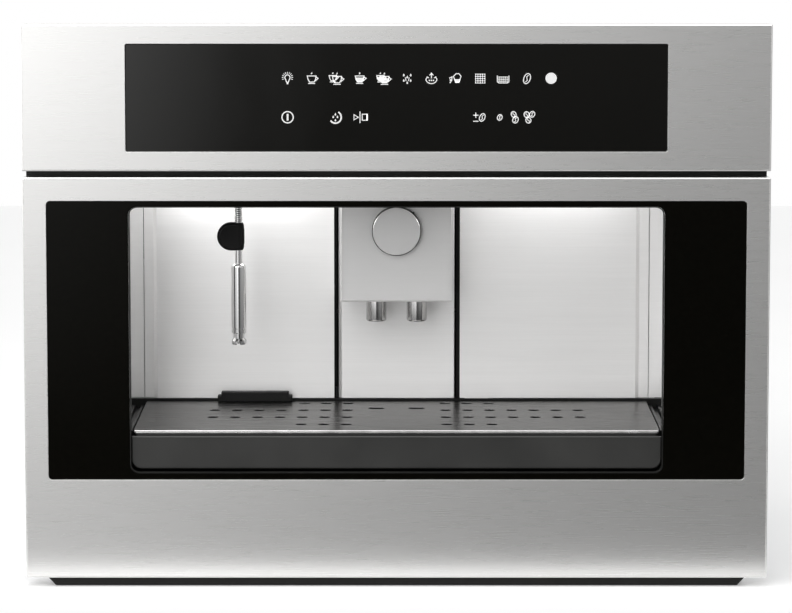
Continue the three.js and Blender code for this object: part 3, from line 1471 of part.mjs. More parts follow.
function addHeatAndPower(group) {
  const boilerTop = ON_BASE + BOILER_HEIGHT;
  piece(
    group,
    "boiler",
    castAluminium,
    turned(
      [
        [0, ON_BASE],
        [BOILER_RADIUS + 6, ON_BASE],
        [BOILER_RADIUS + 6, ON_BASE + 3],
        [BOILER_RADIUS, ON_BASE + 3],
        [BOILER_RADIUS, boilerTop - 14],
        [BOILER_RADIUS + 3, boilerTop - 14],
        [BOILER_RADIUS + 3, boilerTop - 6],
        [BOILER_RADIUS - 8, boilerTop],
        [6, boilerTop],
        [6, boilerTop + 10],
        [0, boilerTop + 10],
      ],
      BOILER_X,
      BOILER_Y,
    ),
  );

  const pumpZ = ON_BASE + PUMP_RADIUS + 8;
  const pumpHalf = PUMP_LENGTH / 2;
  const pumpEnd = PUMP_X + pumpHalf;
  const pumpStart = PUMP_X - pumpHalf;
  const cradle = (x) =>
    block(
      x - CRADLE_WIDTH / 2,
      x + CRADLE_WIDTH / 2,
      PUMP_Y - CRADLE_REACH,
      PUMP_Y + CRADLE_REACH,
      ON_BASE,
      pumpZ,
    );
  piece(
    group,
    "pump",
    paleMetal,
    join(
      bar("x", PUMP_RADIUS, PUMP_Y, pumpZ, pumpStart, pumpEnd),
      bar("x", PUMP_NOZZLE_RADIUS, PUMP_Y, pumpZ, pumpEnd - 1, pumpEnd + PUMP_NOZZLE, 12),
      bar("x", PUMP_NOZZLE_RADIUS, PUMP_Y, pumpZ, pumpStart - PUMP_NOZZLE, pumpStart + 1, 12),
      cradle(PUMP_X - CRADLE_X),
      cradle(PUMP_X + CRADLE_X),
    ),
  );

  // The power board stands on four posts on the cavity's ceiling.
  const deck = CAVITY_CEILING + SHEET + GAP;
  const boardFoot = deck + STANDOFF;
  const boardTop = boardFoot + BOARD_THICK;
  const boardHalfX = POWER_BOARD_WIDTH / 2;
  const boardHalfY = POWER_BOARD_DEPTH / 2;
  const posts = [-1, 1].flatMap((sx) =>
    [-1, 1].map((sy) =>
      bar(
        "z",
        3.5,
        POWER_BOARD_X + sx * (boardHalfX - 6),
        POWER_BOARD_Y + sy * (boardHalfY - 6),
        deck,
        boardFoot + 1,
        8,
      ),
    ),
  );
  const component = (x, y, w, d, h) =>
    block(
      POWER_BOARD_X + x - w / 2,
      POWER_BOARD_X + x + w / 2,
      POWER_BOARD_Y + y - d / 2,
      POWER_BOARD_Y + y + d / 2,
      boardTop - 1,
      boardTop + h,
    );
  piece(
    group,
    "power_board",
    circuitGreen,
    join(
      block(
        POWER_BOARD_X - boardHalfX,
        POWER_BOARD_X + boardHalfX,
        POWER_BOARD_Y - boardHalfY,
        POWER_BOARD_Y + boardHalfY,
        boardFoot,
        boardTop,
      ),
      ...posts,
      ...[TRANSFORMER, CAPACITOR, HEAT_SINK, PLUG_ROW].map((sizes) => component(...sizes)),
    ),
  );

  // The inlet module snaps into the back cover: a plug socket beside the bay of the rocker switch.
  const inletHalf = INLET_WIDTH / 2;
  const inletRise = INLET_HEIGHT / 2;
  const inletFlange = CASE_BACK - GAP;
  const inletFace = DEPTH - 0.1;
  const socketX = INLET_X - inletHalf + 3 + PLUG_WIDTH / 2;
  const rockerX = INLET_X + inletHalf - 4 - ROCKER_WIDTH / 2;
  const bayHalf = ROCKER_WIDTH / 2 + GAP;
  const rockerHalf = ROCKER_WIDTH / 2;
  const rockerRise = ROCKER_HEIGHT / 2;
  const rockerAxis = DEPTH - 7;
  piece(
    group,
    "mains_inlet",
    blackPlastic,
    cut(
      join(
        block(
          INLET_X - inletHalf,
          INLET_X + inletHalf,
          inletFlange - INLET_DEPTH,
          inletFace,
          INLET_Z - inletRise,
          INLET_Z + inletRise,
        ),
        block(
          INLET_X - inletHalf - 4,
          INLET_X + inletHalf + 4,
          inletFlange - 2,
          inletFlange,
          INLET_Z - inletRise - 4,
          INLET_Z + inletRise + 4,
        ),
      ),
      block(
        socketX - PLUG_WIDTH / 2,
        socketX + PLUG_WIDTH / 2,
        inletFace - PLUG_DEPTH,
        inletFace + OVERCUT,
        INLET_Z - PLUG_HEIGHT / 2,
        INLET_Z + PLUG_HEIGHT / 2,
      ),
      block(
        rockerX - bayHalf,
        rockerX + bayHalf,
        rockerAxis - 5,
        inletFace + OVERCUT,
        INLET_Z - rockerRise - 3,
        INLET_Z + rockerRise + 3,
      ),
    ),
  );
  const rocker = polygon([
    [rockerAxis - 2, INLET_Z - rockerRise + 2],
    [rockerAxis + 4, INLET_Z - rockerRise],
    [rockerAxis + 3, INLET_Z],
    [rockerAxis + 6, INLET_Z + rockerRise],
    [rockerAxis - 2, INLET_Z + rockerRise - 2],
  ]);
  piece(group, "mains_switch", rubber, plate("x", rocker, rockerX - rockerHalf, rockerX + rockerHalf));
}

// One telescopic slide: the outer rail stands on the niche floor, and the inner one carries the base plate.
function addRails(group, side, mirror) {
  const end = DEPTH - RAIL_END_GAP;
  const t = RAIL_SHEET;
  const tip = RAIL_X - RAIL_FLANGE;
  const outerTop = RAIL_HEIGHT;
  const outer = polygon(
    [
      [RAIL_X, 0],
      [RAIL_X, outerTop],
      [tip, outerTop],
      [tip, outerTop - t],
      [RAIL_X - t, outerTop - t],
      [RAIL_X - t, t],
      [RAIL_X - RAIL_FOOT, t],
      [RAIL_X - RAIL_FOOT, 0],
    ],
    mirror,
  );
  const middleX = RAIL_X - t - PLAY;
  const middleFoot = t + PLAY;
  const middleTop = outerTop - t - PLAY;
  const middle = polygon(
    [
      [middleX, middleFoot],
      [middleX, middleTop],
      [tip, middleTop],
      [tip, middleTop - t],
      [middleX - t, middleTop - t],
      [middleX - t, middleFoot + t],
      [tip, middleFoot + t],
      [tip, middleFoot],
    ],
    mirror,
  );
  const innerX = middleX - t - PLAY;
  const innerFoot = middleFoot + t + PLAY;
  const innerTop = middleTop - t - PLAY;
  const postX = tip - 1.2;
  const tabTop = CHASSIS_FOOT - GAP;
  const inner = polygon(
    [
      [innerX, innerFoot],
      [innerX, innerTop],
      [postX, innerTop],
      [postX, tabTop],
      [postX - RAIL_TAB, tabTop],
      [postX - RAIL_TAB, tabTop - t],
      [postX - t, tabTop - t],
      [postX - t, innerTop - t],
      [innerX - t, innerTop - t],
      [innerX - t, innerFoot + t],
      [tip, innerFoot + t],
      [tip, innerFoot],
    ],
    mirror,
  );
  piece(group, `outer_rail_${side}`, caseSteel, plate("y", outer, RAIL_START, end));
  piece(group, `middle_rail_${side}`, caseSteel, plate("y", middle, RAIL_START, end));
  piece(group, `inner_rail_${side}`, caseSteel, plate("y", inner, RAIL_START, end));
}

export default coffeeMachine;
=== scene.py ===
"""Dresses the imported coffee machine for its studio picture: finishes for every part, and detailed
pieces where the picture shows more than the plain solids. The front looks along -Y, and +Z is up.
Shapes are drawn in millimetres and built in metres."""
import json
import math

import bpy
import bmesh
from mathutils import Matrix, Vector
from mathutils.geometry import tessellate_polygon


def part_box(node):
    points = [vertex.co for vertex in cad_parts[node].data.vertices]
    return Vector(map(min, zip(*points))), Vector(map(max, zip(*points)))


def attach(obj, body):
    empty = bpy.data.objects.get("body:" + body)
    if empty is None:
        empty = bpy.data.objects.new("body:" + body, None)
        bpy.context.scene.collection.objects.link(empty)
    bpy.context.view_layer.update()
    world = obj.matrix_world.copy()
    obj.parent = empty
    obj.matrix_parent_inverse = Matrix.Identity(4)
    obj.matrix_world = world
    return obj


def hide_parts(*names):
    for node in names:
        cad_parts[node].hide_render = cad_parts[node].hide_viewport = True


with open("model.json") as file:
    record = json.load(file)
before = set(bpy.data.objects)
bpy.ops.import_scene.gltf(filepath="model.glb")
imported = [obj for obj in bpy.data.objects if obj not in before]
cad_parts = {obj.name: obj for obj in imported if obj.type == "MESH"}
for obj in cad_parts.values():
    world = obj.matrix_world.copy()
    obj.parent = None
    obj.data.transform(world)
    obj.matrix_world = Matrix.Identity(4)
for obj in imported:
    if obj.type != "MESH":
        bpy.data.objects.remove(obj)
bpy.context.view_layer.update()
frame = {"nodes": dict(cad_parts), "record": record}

bl_info = {
    "name": "Built-in coffee machine",
    "version": (1, 0, 0),
    "blender": (4, 5, 0),
    "location": "View3D > Sidebar > Coffee machine",
    "description": "Details and finishes for a built-in coffee machine",
    "category": "Object",
}

MM = 0.001
WHITE = (1, 1, 1)
FINISH = "finish_"  # sets the finishes' names apart from the slots' own materials
NODES = frame["nodes"]
SLOT_OF = {part["node"]: part["material_slot"] for part in frame["record"]["subparts"]}
SLOT_COLOUR = {m["slot"]: tuple(m["base_color"]) for m in frame["record"]["materials"]}


def box_mm(node):
    """A solid's lowest and highest corners in millimetres."""
    low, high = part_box(node)
    return low / MM, high / MM


# ---- finishes ----
MIX_SOCKETS = {"FLOAT": (2, 3, 0), "VECTOR": (4, 5, 1), "RGBA": (6, 7, 2)}  # inputs and output
GRAIN = (0.012, 1, 1)  # draws a noise out along X, as brushing does
WEAR_WIDTH = 0.0006


def rgba(colour, level=1.0):
    return (colour[0] * level, colour[1] * level, colour[2] * level, 1.0)


class Nodes:
    """A node tree, and the kinds of node that the finishes and the room are made of."""

    def __init__(self, holder):
        holder.use_nodes = True
        self.tree = holder.node_tree
        self.tree.nodes.clear()

    def feed(self, socket, value):
        """Joins an input to another node's socket, or sets its value."""
        if isinstance(value, bpy.types.NodeSocket):
            self.tree.links.new(value, socket)
        else:
            socket.default_value = value

    def add(self, kind, inputs=None, **settings):
        made = self.tree.nodes.new("ShaderNode" + kind)
        for name, value in settings.items():
            setattr(made, name, value)
        for name, value in (inputs or {}).items():
            self.feed(made.inputs[name], value)
        return made

    def calc(self, operation, a, b):
        return self.add("Math", {0: a, 1: b}, operation=operation).outputs[0]

    def mix(self, kind, share, a, b, blend="MIX"):
        first, second, result = MIX_SOCKETS[kind]
        made = self.add("Mix", {0: share, first: a, second: b}, data_type=kind, blend_type=blend)
        return made.outputs[result]

    def span(self, value, from_low, from_high, to_low, to_high):
        """Brings one range of values onto another."""
        return self.add("MapRange", {
            "Value": value, "From Min": from_low, "From Max": from_high,
            "To Min": to_low, "To Max": to_high}).outputs[0]

    def spread(self, texture, low, high):
        """Brings the middle of a texture's values into a range."""
        return self.span(texture, 0.3, 0.7, low, high)

    def place(self, stretch=(1, 1, 1)):
        """The point on the object in its own metres, stretched along its axes."""
        where = self.add("TexCoord").outputs["Object"]
        return self.add("Mapping", {"Vector": where, "Scale": stretch}).outputs[0]

    def noise(self, scale, detail=3.0, roughness=0.55, stretch=(1, 1, 1)):
        return self.add("TexNoise", {
            "Vector": self.place(stretch), "Scale": scale, "Detail": detail,
            "Roughness": roughness}).outputs[0]

    def ramp(self, factor, stops):
        """Colours along a factor: (position, colour) pairs."""
        made = self.add("ValToRGB", {"Fac": factor})
        line = made.color_ramp
        line.elements[-1].position = stops[-1][0]
        line.elements[0].position = stops[0][0]
        for position, _ in stops[1:-1]:
            line.elements.new(position)
        for element, (_, colour) in zip(line.elements, stops):
            element.color = colour
        return made.outputs[0]

    def tones(self, factor, colour, *stops):
        """One colour at several levels along a factor: (position, level) pairs."""
        return self.ramp(factor, [(position, rgba(colour, level)) for position, level in stops])

    def bump(self, height, distance, strength):
        return self.add("Bump", {
            "Height": height, "Distance": distance, "Strength": strength}).outputs[0]


class Finish(Nodes):
    """A material with one principled shader."""

    def __init__(self, name, **sockets):
        self.material = bpy.data.materials.new(FINISH + name)
        super().__init__(self.material)
        self.shader = self.add("BsdfPrincipled")
        self.add("OutputMaterial", {"Surface": self.shader.outputs[0]})
        self.put(**sockets)

    def put(self, **sockets):
        """Feeds the shader's inputs by name, with _ for a space."""
        for name, value in sockets.items():
            self.feed(self.shader.inputs[name.replace("_", " ")], value)

    def done(self, base, roughness, normal):
        self.put(Base_Color=base, Roughness=roughness, Normal=normal)

    def worn_edges(self, amount):
        """Rises where an edge is rubbed: the bevelled normal against the flat one."""
        bent = self.add("Bevel", {"Radius": WEAR_WIDTH}, samples=4).outputs[0]
        flat = self.add("NewGeometry").outputs["Normal"]
        dot = self.add("VectorMath", {0: bent, 1: flat}, operation="DOT_PRODUCT").outputs["Value"]
        return self.span(dot, 1.0, 0.8, 0.0, amount)


def grained_metal(name, colour, roughness, grain=0.05, streak=0.05, metallic=1.0, lines=2600.0,
                  depth=0.00002, rim_tint=1.0):
    """Brushed metal: fine and broad lines along X, and a slow change of tone."""
    made = Finish(name, Metallic=metallic, Specular_Tint=rgba(WHITE, rim_tint))
    fine = made.noise(lines, 2.0, 0.6, GRAIN)
    broad = made.noise(lines / 9, 2.0, 0.5, GRAIN)
    cloud = made.noise(5.0, 2.0)
    tone = made.mix("FLOAT", 0.25, made.mix("FLOAT", 0.35, fine, broad), cloud)
    made.done(
        made.tones(tone, colour, (0.3, 1 - streak), (0.7, 1 + streak * 0.6)),
        made.spread(fine, roughness - grain, roughness + grain),
        made.bump(fine, depth, 0.6))


def mirror_metal(name, colour, roughness):
    """Polished or plated metal with faint wipe marks."""
    made = Finish(name, Metallic=1.0)
    wipe = made.noise(90.0, 4.0, stretch=(1, 1, 0.3))
    made.done(
        made.tones(wipe, colour, (0.3, 0.96), (0.7, 1.02)),
        made.spread(wipe, roughness * 0.7, roughness * 1.4),
        made.bump(made.noise(400.0, 2.0), 0.000004, 0.3))


def satin_plastic(name, colour, roughness, texture=2200.0, wear=0.25, refraction=1.47):
    """Moulded plastic: a fine spark-eroded texture, slight blotches and paler worn edges."""
    made = Finish(name, IOR=refraction)
    blotch = made.noise(22.0, 4.0)
    base = made.tones(blotch, colour, (0.3, 0.86), (0.7, 1.14))
    pale = rgba([min(1.0, c * 1.5 + 0.03) for c in colour])
    made.done(
        made.mix("RGBA", made.worn_edges(wear), base, pale),
        made.spread(blotch, roughness - 0.05, roughness + 0.06),
        made.bump(made.noise(texture, 2.0), 0.00003, 0.5))


def dark_glass(name, colour, refraction):
    """Black glass: deep, glossy, with a breath of dust."""
    made = Finish(name, IOR=refraction)
    dust = made.noise(260.0, 5.0, 0.7)
    smear = made.noise(14.0, 3.0, stretch=(1, 1, 0.4))
    made.done(
        made.tones(dust, colour, (0.35, 0.85), (0.8, 1.3)),
        made.spread(smear, 0.05, 0.11),
        made.bump(smear, 0.000006, 0.15))


def spangled_steel(name, colour):
    """Galvanised sheet with its spangle."""
    made = Finish(name, Metallic=0.85)
    point = made.place()
    wobble = made.add("TexNoise", {"Vector": point, "Scale": 60.0, "Detail": 2.0}).outputs[1]
    bent = made.mix("VECTOR", 0.012, point, wobble)
    cells = made.add("TexVoronoi", {"Vector": bent, "Scale": 120.0}).outputs["Color"]
    grey = made.add("SeparateColor", {0: cells}).outputs[0]
    rolled = made.noise(700.0, 2.0, stretch=(1, 0.05, 1))
    made.done(
        made.tones(grey, colour, (0.0, 0.87), (1.0, 1.02)),
        made.spread(grey, 0.36, 0.5),
        made.bump(rolled, 0.00001, 0.4))


def soft_rubber(name, colour):
    """Dull rubber with a faint bloom."""
    made = Finish(name, IOR=1.3, Sheen_Weight=0.01, Sheen_Roughness=0.4)
    bloom = made.noise(40.0, 3.0)
    made.done(
        made.tones(bloom, colour, (0.3, 0.8), (0.75, 1.5)),
        made.spread(bloom, 0.5, 0.68),
        made.bump(made.noise(1500.0, 3.0), 0.00004, 0.5))


def smoky_plastic(name, colour):
    """Clear moulded plastic, slightly smoky."""
    made = Finish(name, IOR=1.49, Transmission_Weight=0.8, Specular_IOR_Level=0.5)
    flow = made.noise(30.0, 3.0, stretch=(1, 1, 0.2))
    made.done(
        made.tones(flow, colour, (0.3, 0.95), (0.7, 1.1)),
        made.spread(flow, 0.06, 0.16),
        made.bump(made.noise(800.0, 2.0), 0.000006, 0.3))


def cast_metal(name, colour):
    """Sand-cast aluminium: a pebbled skin with darker hollows."""
    made = Finish(name, Metallic=0.9)
    skin = made.noise(900.0, 4.0, 0.65)
    made.done(
        made.tones(skin, colour, (0.25, 0.72), (0.6, 1.0), (0.8, 1.12)),
        made.spread(made.noise(30.0, 3.0), 0.42, 0.58),
        made.bump(skin, 0.00012, 0.6))


def board_green(name, colour):
    """Solder resist with the copper tracks standing under it."""
    made = Finish(name, IOR=1.5)
    tracks = made.add("TexBrick", {
        "Vector": made.place(), "Scale": 120.0, "Color1": rgba(colour, 0.8),
        "Color2": rgba(colour, 1.15), "Mortar": rgba(colour, 1.9), "Mortar Size": 0.018})
    made.done(
        tracks.outputs[0],
        made.spread(made.noise(60.0, 3.0), 0.28, 0.42),
        made.bump(tracks.outputs["Fac"], 0.00004, 0.5))


def frosted_lens(name, colour):
    """The cavity lamp's lens: pale, ribbed and softly lit from within."""
    made = Finish(
        name, IOR=1.49, Subsurface_Weight=0.2, Subsurface_Radius=(0.004, 0.004, 0.003),
        Emission_Color=rgba(colour), Emission_Strength=0.8)
    ribs = made.add("TexWave", {"Vector": made.place(), "Scale": 90.0}).outputs["Fac"]
    haze = made.noise(90.0, 3.0)
    made.done(
        made.tones(haze, colour, (0.3, 0.94), (0.7, 1.0)),
        made.spread(haze, 0.3, 0.42),
        made.bump(ribs, 0.0001, 0.4))


def printed_white(name):
    """White print on glass, with its slightly uneven ink; the ink also glows a little, which is
    painted light.
    """
    # the white emission is a painted glow: the print shines by itself though it is no lamp
    made = Finish(name, IOR=1.45, Emission_Color=rgba(WHITE), Emission_Strength=0.35)
    ink = made.noise(1800.0, 3.0)
    made.done(
        made.ramp(ink, [(0.3, rgba((0.86, 0.86, 0.85))), (0.7, rgba((0.95, 0.95, 0.94)))]),
        made.spread(ink, 0.4, 0.55),
        made.bump(ink, 0.00001, 0.4))


def make_finishes(settings):
    """Every finish; those that dress plain solids have their slots' names."""
    steel, dull = tuple(settings.steel_colour), settings.steel_roughness
    pale = (0.84, 0.835, 0.83)
    grained_metal("brushed_steel", steel, dull)
    grained_metal("front_steel", steel, dull, grain=0.008, streak=0.015, depth=0.0000012)
    grained_metal("wall_steel", (0.88, 0.875, 0.87), 0.46, 0.04, 0.04, 0.75, 1900.0)
    grained_metal("polished_steel", SLOT_COLOUR["polished_steel"], 0.17, 0.05, 0.06, lines=1700.0)
    grained_metal("spout_steel", pale, 0.42, 0.02, 0.02, 0.6)
    grained_metal("knob_steel", pale, 0.36, 0.02, 0.02, 0.6)
    grained_metal(
        "plate_steel", (0.32, 0.316, 0.312), 0.27, 0.04, 0.06, lines=1500.0, rim_tint=0.42)
    mirror_metal("turned_steel", (0.52, 0.515, 0.51), 0.2)
    mirror_metal("chrome", SLOT_COLOUR["chrome"], 0.07)
    mirror_metal("pale_metal", SLOT_COLOUR["pale_metal"], 0.3)
    spangled_steel("case_steel", SLOT_COLOUR["case_steel"])
    cast_metal("cast_aluminium", SLOT_COLOUR["cast_aluminium"])
    glass = tuple(settings.glass_colour)
    dark_glass("black_glass", glass, 1.42)
    dark_glass("frame_glass", glass, 1.16)
    satin_plastic("black_plastic", (0.007, 0.007, 0.0065), 0.42, refraction=1.28)
    satin_plastic("edging_plastic", (0.014, 0.014, 0.013), 0.5, 1500.0, 0.1, 1.3)
    satin_plastic("grey_plastic", tuple(settings.tray_colour), 0.4, 1500.0)
    smoky_plastic("clear_plastic", SLOT_COLOUR["clear_plastic"])
    soft_rubber("rubber", (0.004, 0.004, 0.004))
    board_green("circuit_green", (0.02, 0.11, 0.05))
    frosted_lens("lamp_lens", (0.96, 0.945, 0.9))
    printed_white("printed_white")


WALLS = ("cavity_left_wall", "cavity_right_wall", "service_door", "cavity_liner")


def dress_solids():
    """Gives every plain solid its finish."""
    for node, solid in NODES.items():
        name = "wall_steel" if node in WALLS else SLOT_OF[node]
        for slot in solid.material_slots:
            slot.material = bpy.data.materials[FINISH + name]


# ---- outlines: functions that give a closed line's points for an inset ----
def spun(u, v, tilt):
    """A point turned about the middle by an angle in degrees."""
    turn = math.radians(tilt)
    return u * math.cos(turn) - v * math.sin(turn), u * math.sin(turn) + v * math.cos(turn)


def curve(cx, cz, rx, rz, start, end, steps, tilt=0.0):
    """Points along an ellipse between two angles in degrees."""
    points = []
    for k in range(steps + 1):
        turn = math.radians(start + (end - start) * k / steps)
        u, v = spun(rx * math.cos(turn), rz * math.sin(turn), tilt)
        points.append((cx + u, cz + v))
    return points


def oval(cx, cz, rx, rz, steps, tilt=0.0):
    """Points all the way round an ellipse."""
    return curve(cx, cz, rx, rz, 0, 360 * (steps - 1) / steps, steps - 1, tilt)


def corners(x0, x1, z0, z1):
    """A plain rectangle's corners."""
    return [(x0, z0), (x1, z0), (x1, z1), (x0, z1)]


def rounded(x0, x1, z0, z1, low, high=None, steps=6):
    """A rectangle with its low and high corners rounded."""
    high = low if high is None else high

    def outline(inset):
        points = []
        for cx, cz, radius, start in (
                (x0, z0, low, 180), (x1, z0, low, 270), (x1, z1, high, 0), (x0, z1, high, 90)):
            reach = max(radius, inset + 0.02)
            r = reach - inset
            mx = cx + reach if cx == x0 else cx - reach
            mz = cz + reach if cz == z0 else cz - reach
            points += curve(mx, mz, r, r, start, start + 90, steps)
        return points

    return outline


def face_of(node, corner, grow=0.0):
    """A solid's front view as a rounded rectangle."""
    low, high = box_mm(node)
    return rounded(low.x - grow, high.x + grow, low.z - grow, high.z + grow, corner)


def circle(x, z, radius, steps=28):
    def outline(inset):
        return oval(x, z, radius - inset, radius - inset, steps)

    return outline


def free_outline(points):
    """Any counter-clockwise polygon."""
    count = len(points)

    def outline(inset):
        out = []
        for i, (x, z) in enumerate(points):
            into = (Vector((x, z)) - Vector(points[i - 1])).normalized()
            away = (Vector(points[(i + 1) % count]) - Vector((x, z))).normalized()
            side = Vector((-into.y - away.y, into.x + away.x)).normalized()
            reach = inset / max(0.5, side.dot(Vector((-into.y, into.x))))
            out.append((x + side.x * reach, z + side.y * reach))
        return out

    return outline


def rounded_corners(points, radius, steps=4):
    """A polygon with every corner rounded, as plain points."""
    out = []
    count = len(points)
    for i in range(count):
        here = Vector(points[i])
        before = Vector(points[i - 1]) - here
        after = Vector(points[(i + 1) % count]) - here
        reach = min(radius, before.length * 0.45, after.length * 0.45)
        a, b = here + before.normalized() * reach, here + after.normalized() * reach
        for k in range(steps + 1):
            t = k / steps
            spot = a * (1 - t) ** 2 + here * 2 * t * (1 - t) + b * t * t
            out.append((spot.x, spot.y))
    return out


# ---- profiles: (inset, depth) steps ----
def arc(inset_from, depth_from, inset_to, depth_to, steps=4, hollow=False):
    """A quarter round between two ends of a profile."""
    points = []
    for k in range(steps + 1):
        turn = math.pi / 2 * k / steps
        a, b = math.sin(turn), 1 - math.cos(turn)
        a, b = (b, a) if hollow else (a, b)
        points.append((
            inset_from + (inset_to - inset_from) * a,
            depth_from + (depth_to - depth_from) * b))
    return points


def rims(near, far, radius, steps=3):
    """A plate between two depths with rounded rims; a hole's radius is below 0."""
    deep = abs(radius)
    return (arc(radius, near, 0, near + deep, steps, True)
            + arc(0, far - deep, radius, far, steps))


# ---- shapes ----
class Shape:
    """Collects points and faces in millimetres and turns them into one piece."""

    def __init__(self):
        self.points = []
        self.faces = []

    def loop(self, points):
        """Adds points and gives their numbers."""
        start = len(self.points)
        self.points.extend(points)
        return list(range(start, len(self.points)))

    def band(self, a, b):
        """Faces between two closed loops."""
        for i in range(len(a)):
            j = (i + 1) % len(a)
            self.faces.append((a[i], a[j], b[j], b[i]))

    def bands(self, loops, closed=False):
        for a, b in zip(loops, loops[1:]):
            self.band(a, b)
        if closed:
            self.band(loops[-1], loops[0])

    def cap(self, *loops):
        """A flat face inside the first loop, with the others as holes."""
        outlines = [[Vector(self.points[i]) for i in loop] for loop in loops]
        index = [i for loop in loops for i in loop]
        for triangle in tessellate_polygon(outlines):
            self.faces.append(tuple(index[i] for i in triangle))

    def build(self, name, finish, crease=40.0, weighted=True):
        mesh = bpy.data.meshes.new(name)
        mesh.from_pydata([Vector(p) * MM for p in self.points], [], self.faces)
        form = bmesh.new()
        form.from_mesh(mesh)
        bmesh.ops.remove_doubles(form, verts=form.verts, dist=1e-7)
        bmesh.ops.recalc_face_normals(form, faces=form.faces)
        form.to_mesh(mesh)
        form.free()
        mesh.polygons.foreach_set("use_smooth", [True] * len(mesh.polygons))
        mesh.set_sharp_from_angle(angle=math.radians(crease))
        mesh.materials.append(bpy.data.materials[FINISH + finish])
        piece = add_object(name, mesh)
        if weighted:
            even = piece.modifiers.new("even_normals", "WEIGHTED_NORMAL")
            even.keep_sharp = True
        return piece


def add_object(name, content):
    made = bpy.data.objects.new(name, content)
    bpy.context.scene.collection.objects.link(made)
    return made


def ride(piece, body, slot, *replaced):
    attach(piece, body)
    if replaced:
        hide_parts(*replaced)


FACING = {
    "-y": lambda u, v, d: (u, d, v),
    "z": lambda u, v, d: (u, v, d),
}


def sweep(shape, outline, profile, facing="-y"):
    """An outline's loops along a profile, joined into a skin."""
    put_at = FACING[facing]
    loops = [shape.loop([put_at(u, v, depth) for u, v in outline(inset)])
             for inset, depth in profile]
    shape.bands(loops)
    return loops


def prism(shape, outline, profile, facing="-y"):
    """A swept outline with both ends closed."""
    loops = sweep(shape, outline, profile, facing)
    shape.cap(loops[0])
    shape.cap(loops[-1])


def soft_block(shape, outline, near, far, radius, steps=3):
    """A block with both its rims rounded."""
    prism(shape, outline, rims(near, far, radius, steps))


def framed_plate(shape, outer, holes, near, far, rim, hole_rim, facing="-y", steps=3):
    """A plate with holes, its front and back rims rounded."""
    edges = [sweep(shape, outer, rims(near, far, rim, steps), facing)]
    edges += [sweep(shape, hole, rims(near, far, -hole_rim, steps), facing) for hole in holes]
    shape.cap(*[loops[0] for loops in edges])
    shape.cap(*[loops[-1] for loops in edges])


def pressed_front(shape, outer, mouth, face, back, rim):
    """A folded sheet front: a plate with a mouth, whose four edges turn back."""
    skin = sweep(shape, outer, arc(rim, face, 0, face + rim, 5, True)
                 + [(0, back), (SHEET, back), (SHEET, face + SHEET)])
    hole = sweep(shape, mouth, arc(-MOUTH_RIM, face, 0, face + MOUTH_RIM, 4, True)
                 + [(0, face + SHEET)])
    shape.cap(skin[0], hole[0])
    shape.cap(skin[-1], hole[-1])


def turned(shape, profile, centre, axis, steps, start=0.0, turn=360.0, bored=False):
    """A lathe form from (radius, height) steps: a radius of 0 closes it, a bored one is a ring."""
    cx, cy, cz = centre
    count = steps if turn == 360.0 else steps + 1

    def at(radius, height, angle):
        a, b = radius * math.cos(angle), radius * math.sin(angle)
        return {
            "z": (cx + a, cy + b, cz + height),
            "-y": (cx + a, cy - height, cz + b),
            "x": (cx + height, cy + a, cz + b),
        }[axis]

    angles = [math.radians(start + turn * k / steps) for k in range(count)]
    loops = [shape.loop([at(radius, height, angle) for angle in (angles if radius > 0 else [0])])
             for radius, height in profile]
    for a, b in zip(loops, loops[1:]):
        if len(a) == 1 or len(b) == 1:
            tip, rim = (a[0], b) if len(a) == 1 else (b[0], a)
            for k in range(len(rim)):
                shape.faces.append((tip, rim[k], rim[(k + 1) % len(rim)]))
        else:
            shape.band(a, b)
    if bored:
        shape.band(loops[-1], loops[0])


def screw_heads(name, places, outward, radius=3.2, rise=1.3):
    """Cross-slotted screw heads at (x, y, z) places, standing out along an axis."""
    shape = Shape()
    outward = Vector(outward)
    side = Vector((0, 0, 1)) if outward.z == 0 else Vector((1, 0, 0))
    other = outward.cross(side)
    arm, half, sunk = radius * 0.42, radius * 0.12, rise * 0.45
    cross = [spun(u, v, -90 * quarter) for quarter in range(4)
             for u, v in ((half, arm), (half, half), (arm, half))]
    for spot in places:
        def level(flat, height):
            return shape.loop([
                tuple(Vector(spot) + outward * height + side * u + other * v) for u, v in flat])

        loops = [level(oval(0, 0, r, r, 20), height) for r, height in (
            (radius, 0), (radius, rise * 0.45), (radius * 0.8, rise * 0.85), (radius * 0.55, rise))]
        shape.bands(loops)
        shape.cap(loops[0])
        top, floor = level(cross, rise), level(cross, rise - sunk)
        shape.cap(loops[-1], top)
        shape.band(top, floor)
        shape.cap(floor)
    return shape.build(name, "pale_metal", crease=30)


# ---- settings ----
class CoffeeMachineLook(bpy.types.PropertyGroup):
    """Colours and small sizes of the machine's visible details."""
    steel_colour: bpy.props.FloatVectorProperty(
        name="Steel", description="Tone of the brushed steel", subtype="COLOR", size=3,
        min=0, max=1, default=(0.80, 0.795, 0.785))
    glass_colour: bpy.props.FloatVectorProperty(
        name="Glass", description="Colour of the black glass", subtype="COLOR", size=3,
        min=0, max=1, default=(0.0045, 0.0042, 0.003))
    tray_colour: bpy.props.FloatVectorProperty(
        name="Tray", description="Colour of the drip tray", subtype="COLOR", size=3,
        min=0, max=1, default=(0.030, 0.030, 0.0285))
    steel_roughness: bpy.props.FloatProperty(
        name="Steel roughness", description="How dull the brushed steel is",
        min=0.05, max=0.9, default=0.28)
    edge_round: bpy.props.FloatProperty(
        name="Edge rounding", description="Rounding of the folded steel edges",
        subtype="DISTANCE", unit="LENGTH", min=0.0002, max=0.003, default=0.0012)
    symbol_stroke: bpy.props.FloatProperty(
        name="Symbol stroke", description="Width of the printed symbols' lines",
        subtype="DISTANCE", unit="LENGTH", min=0.0002, max=0.002, default=0.00075)
    knob_groove: bpy.props.FloatProperty(
        name="Knob groove", description="Width of the groove round the spout knob",
        subtype="DISTANCE", unit="LENGTH", min=0.0002, max=0.002, default=0.0008)


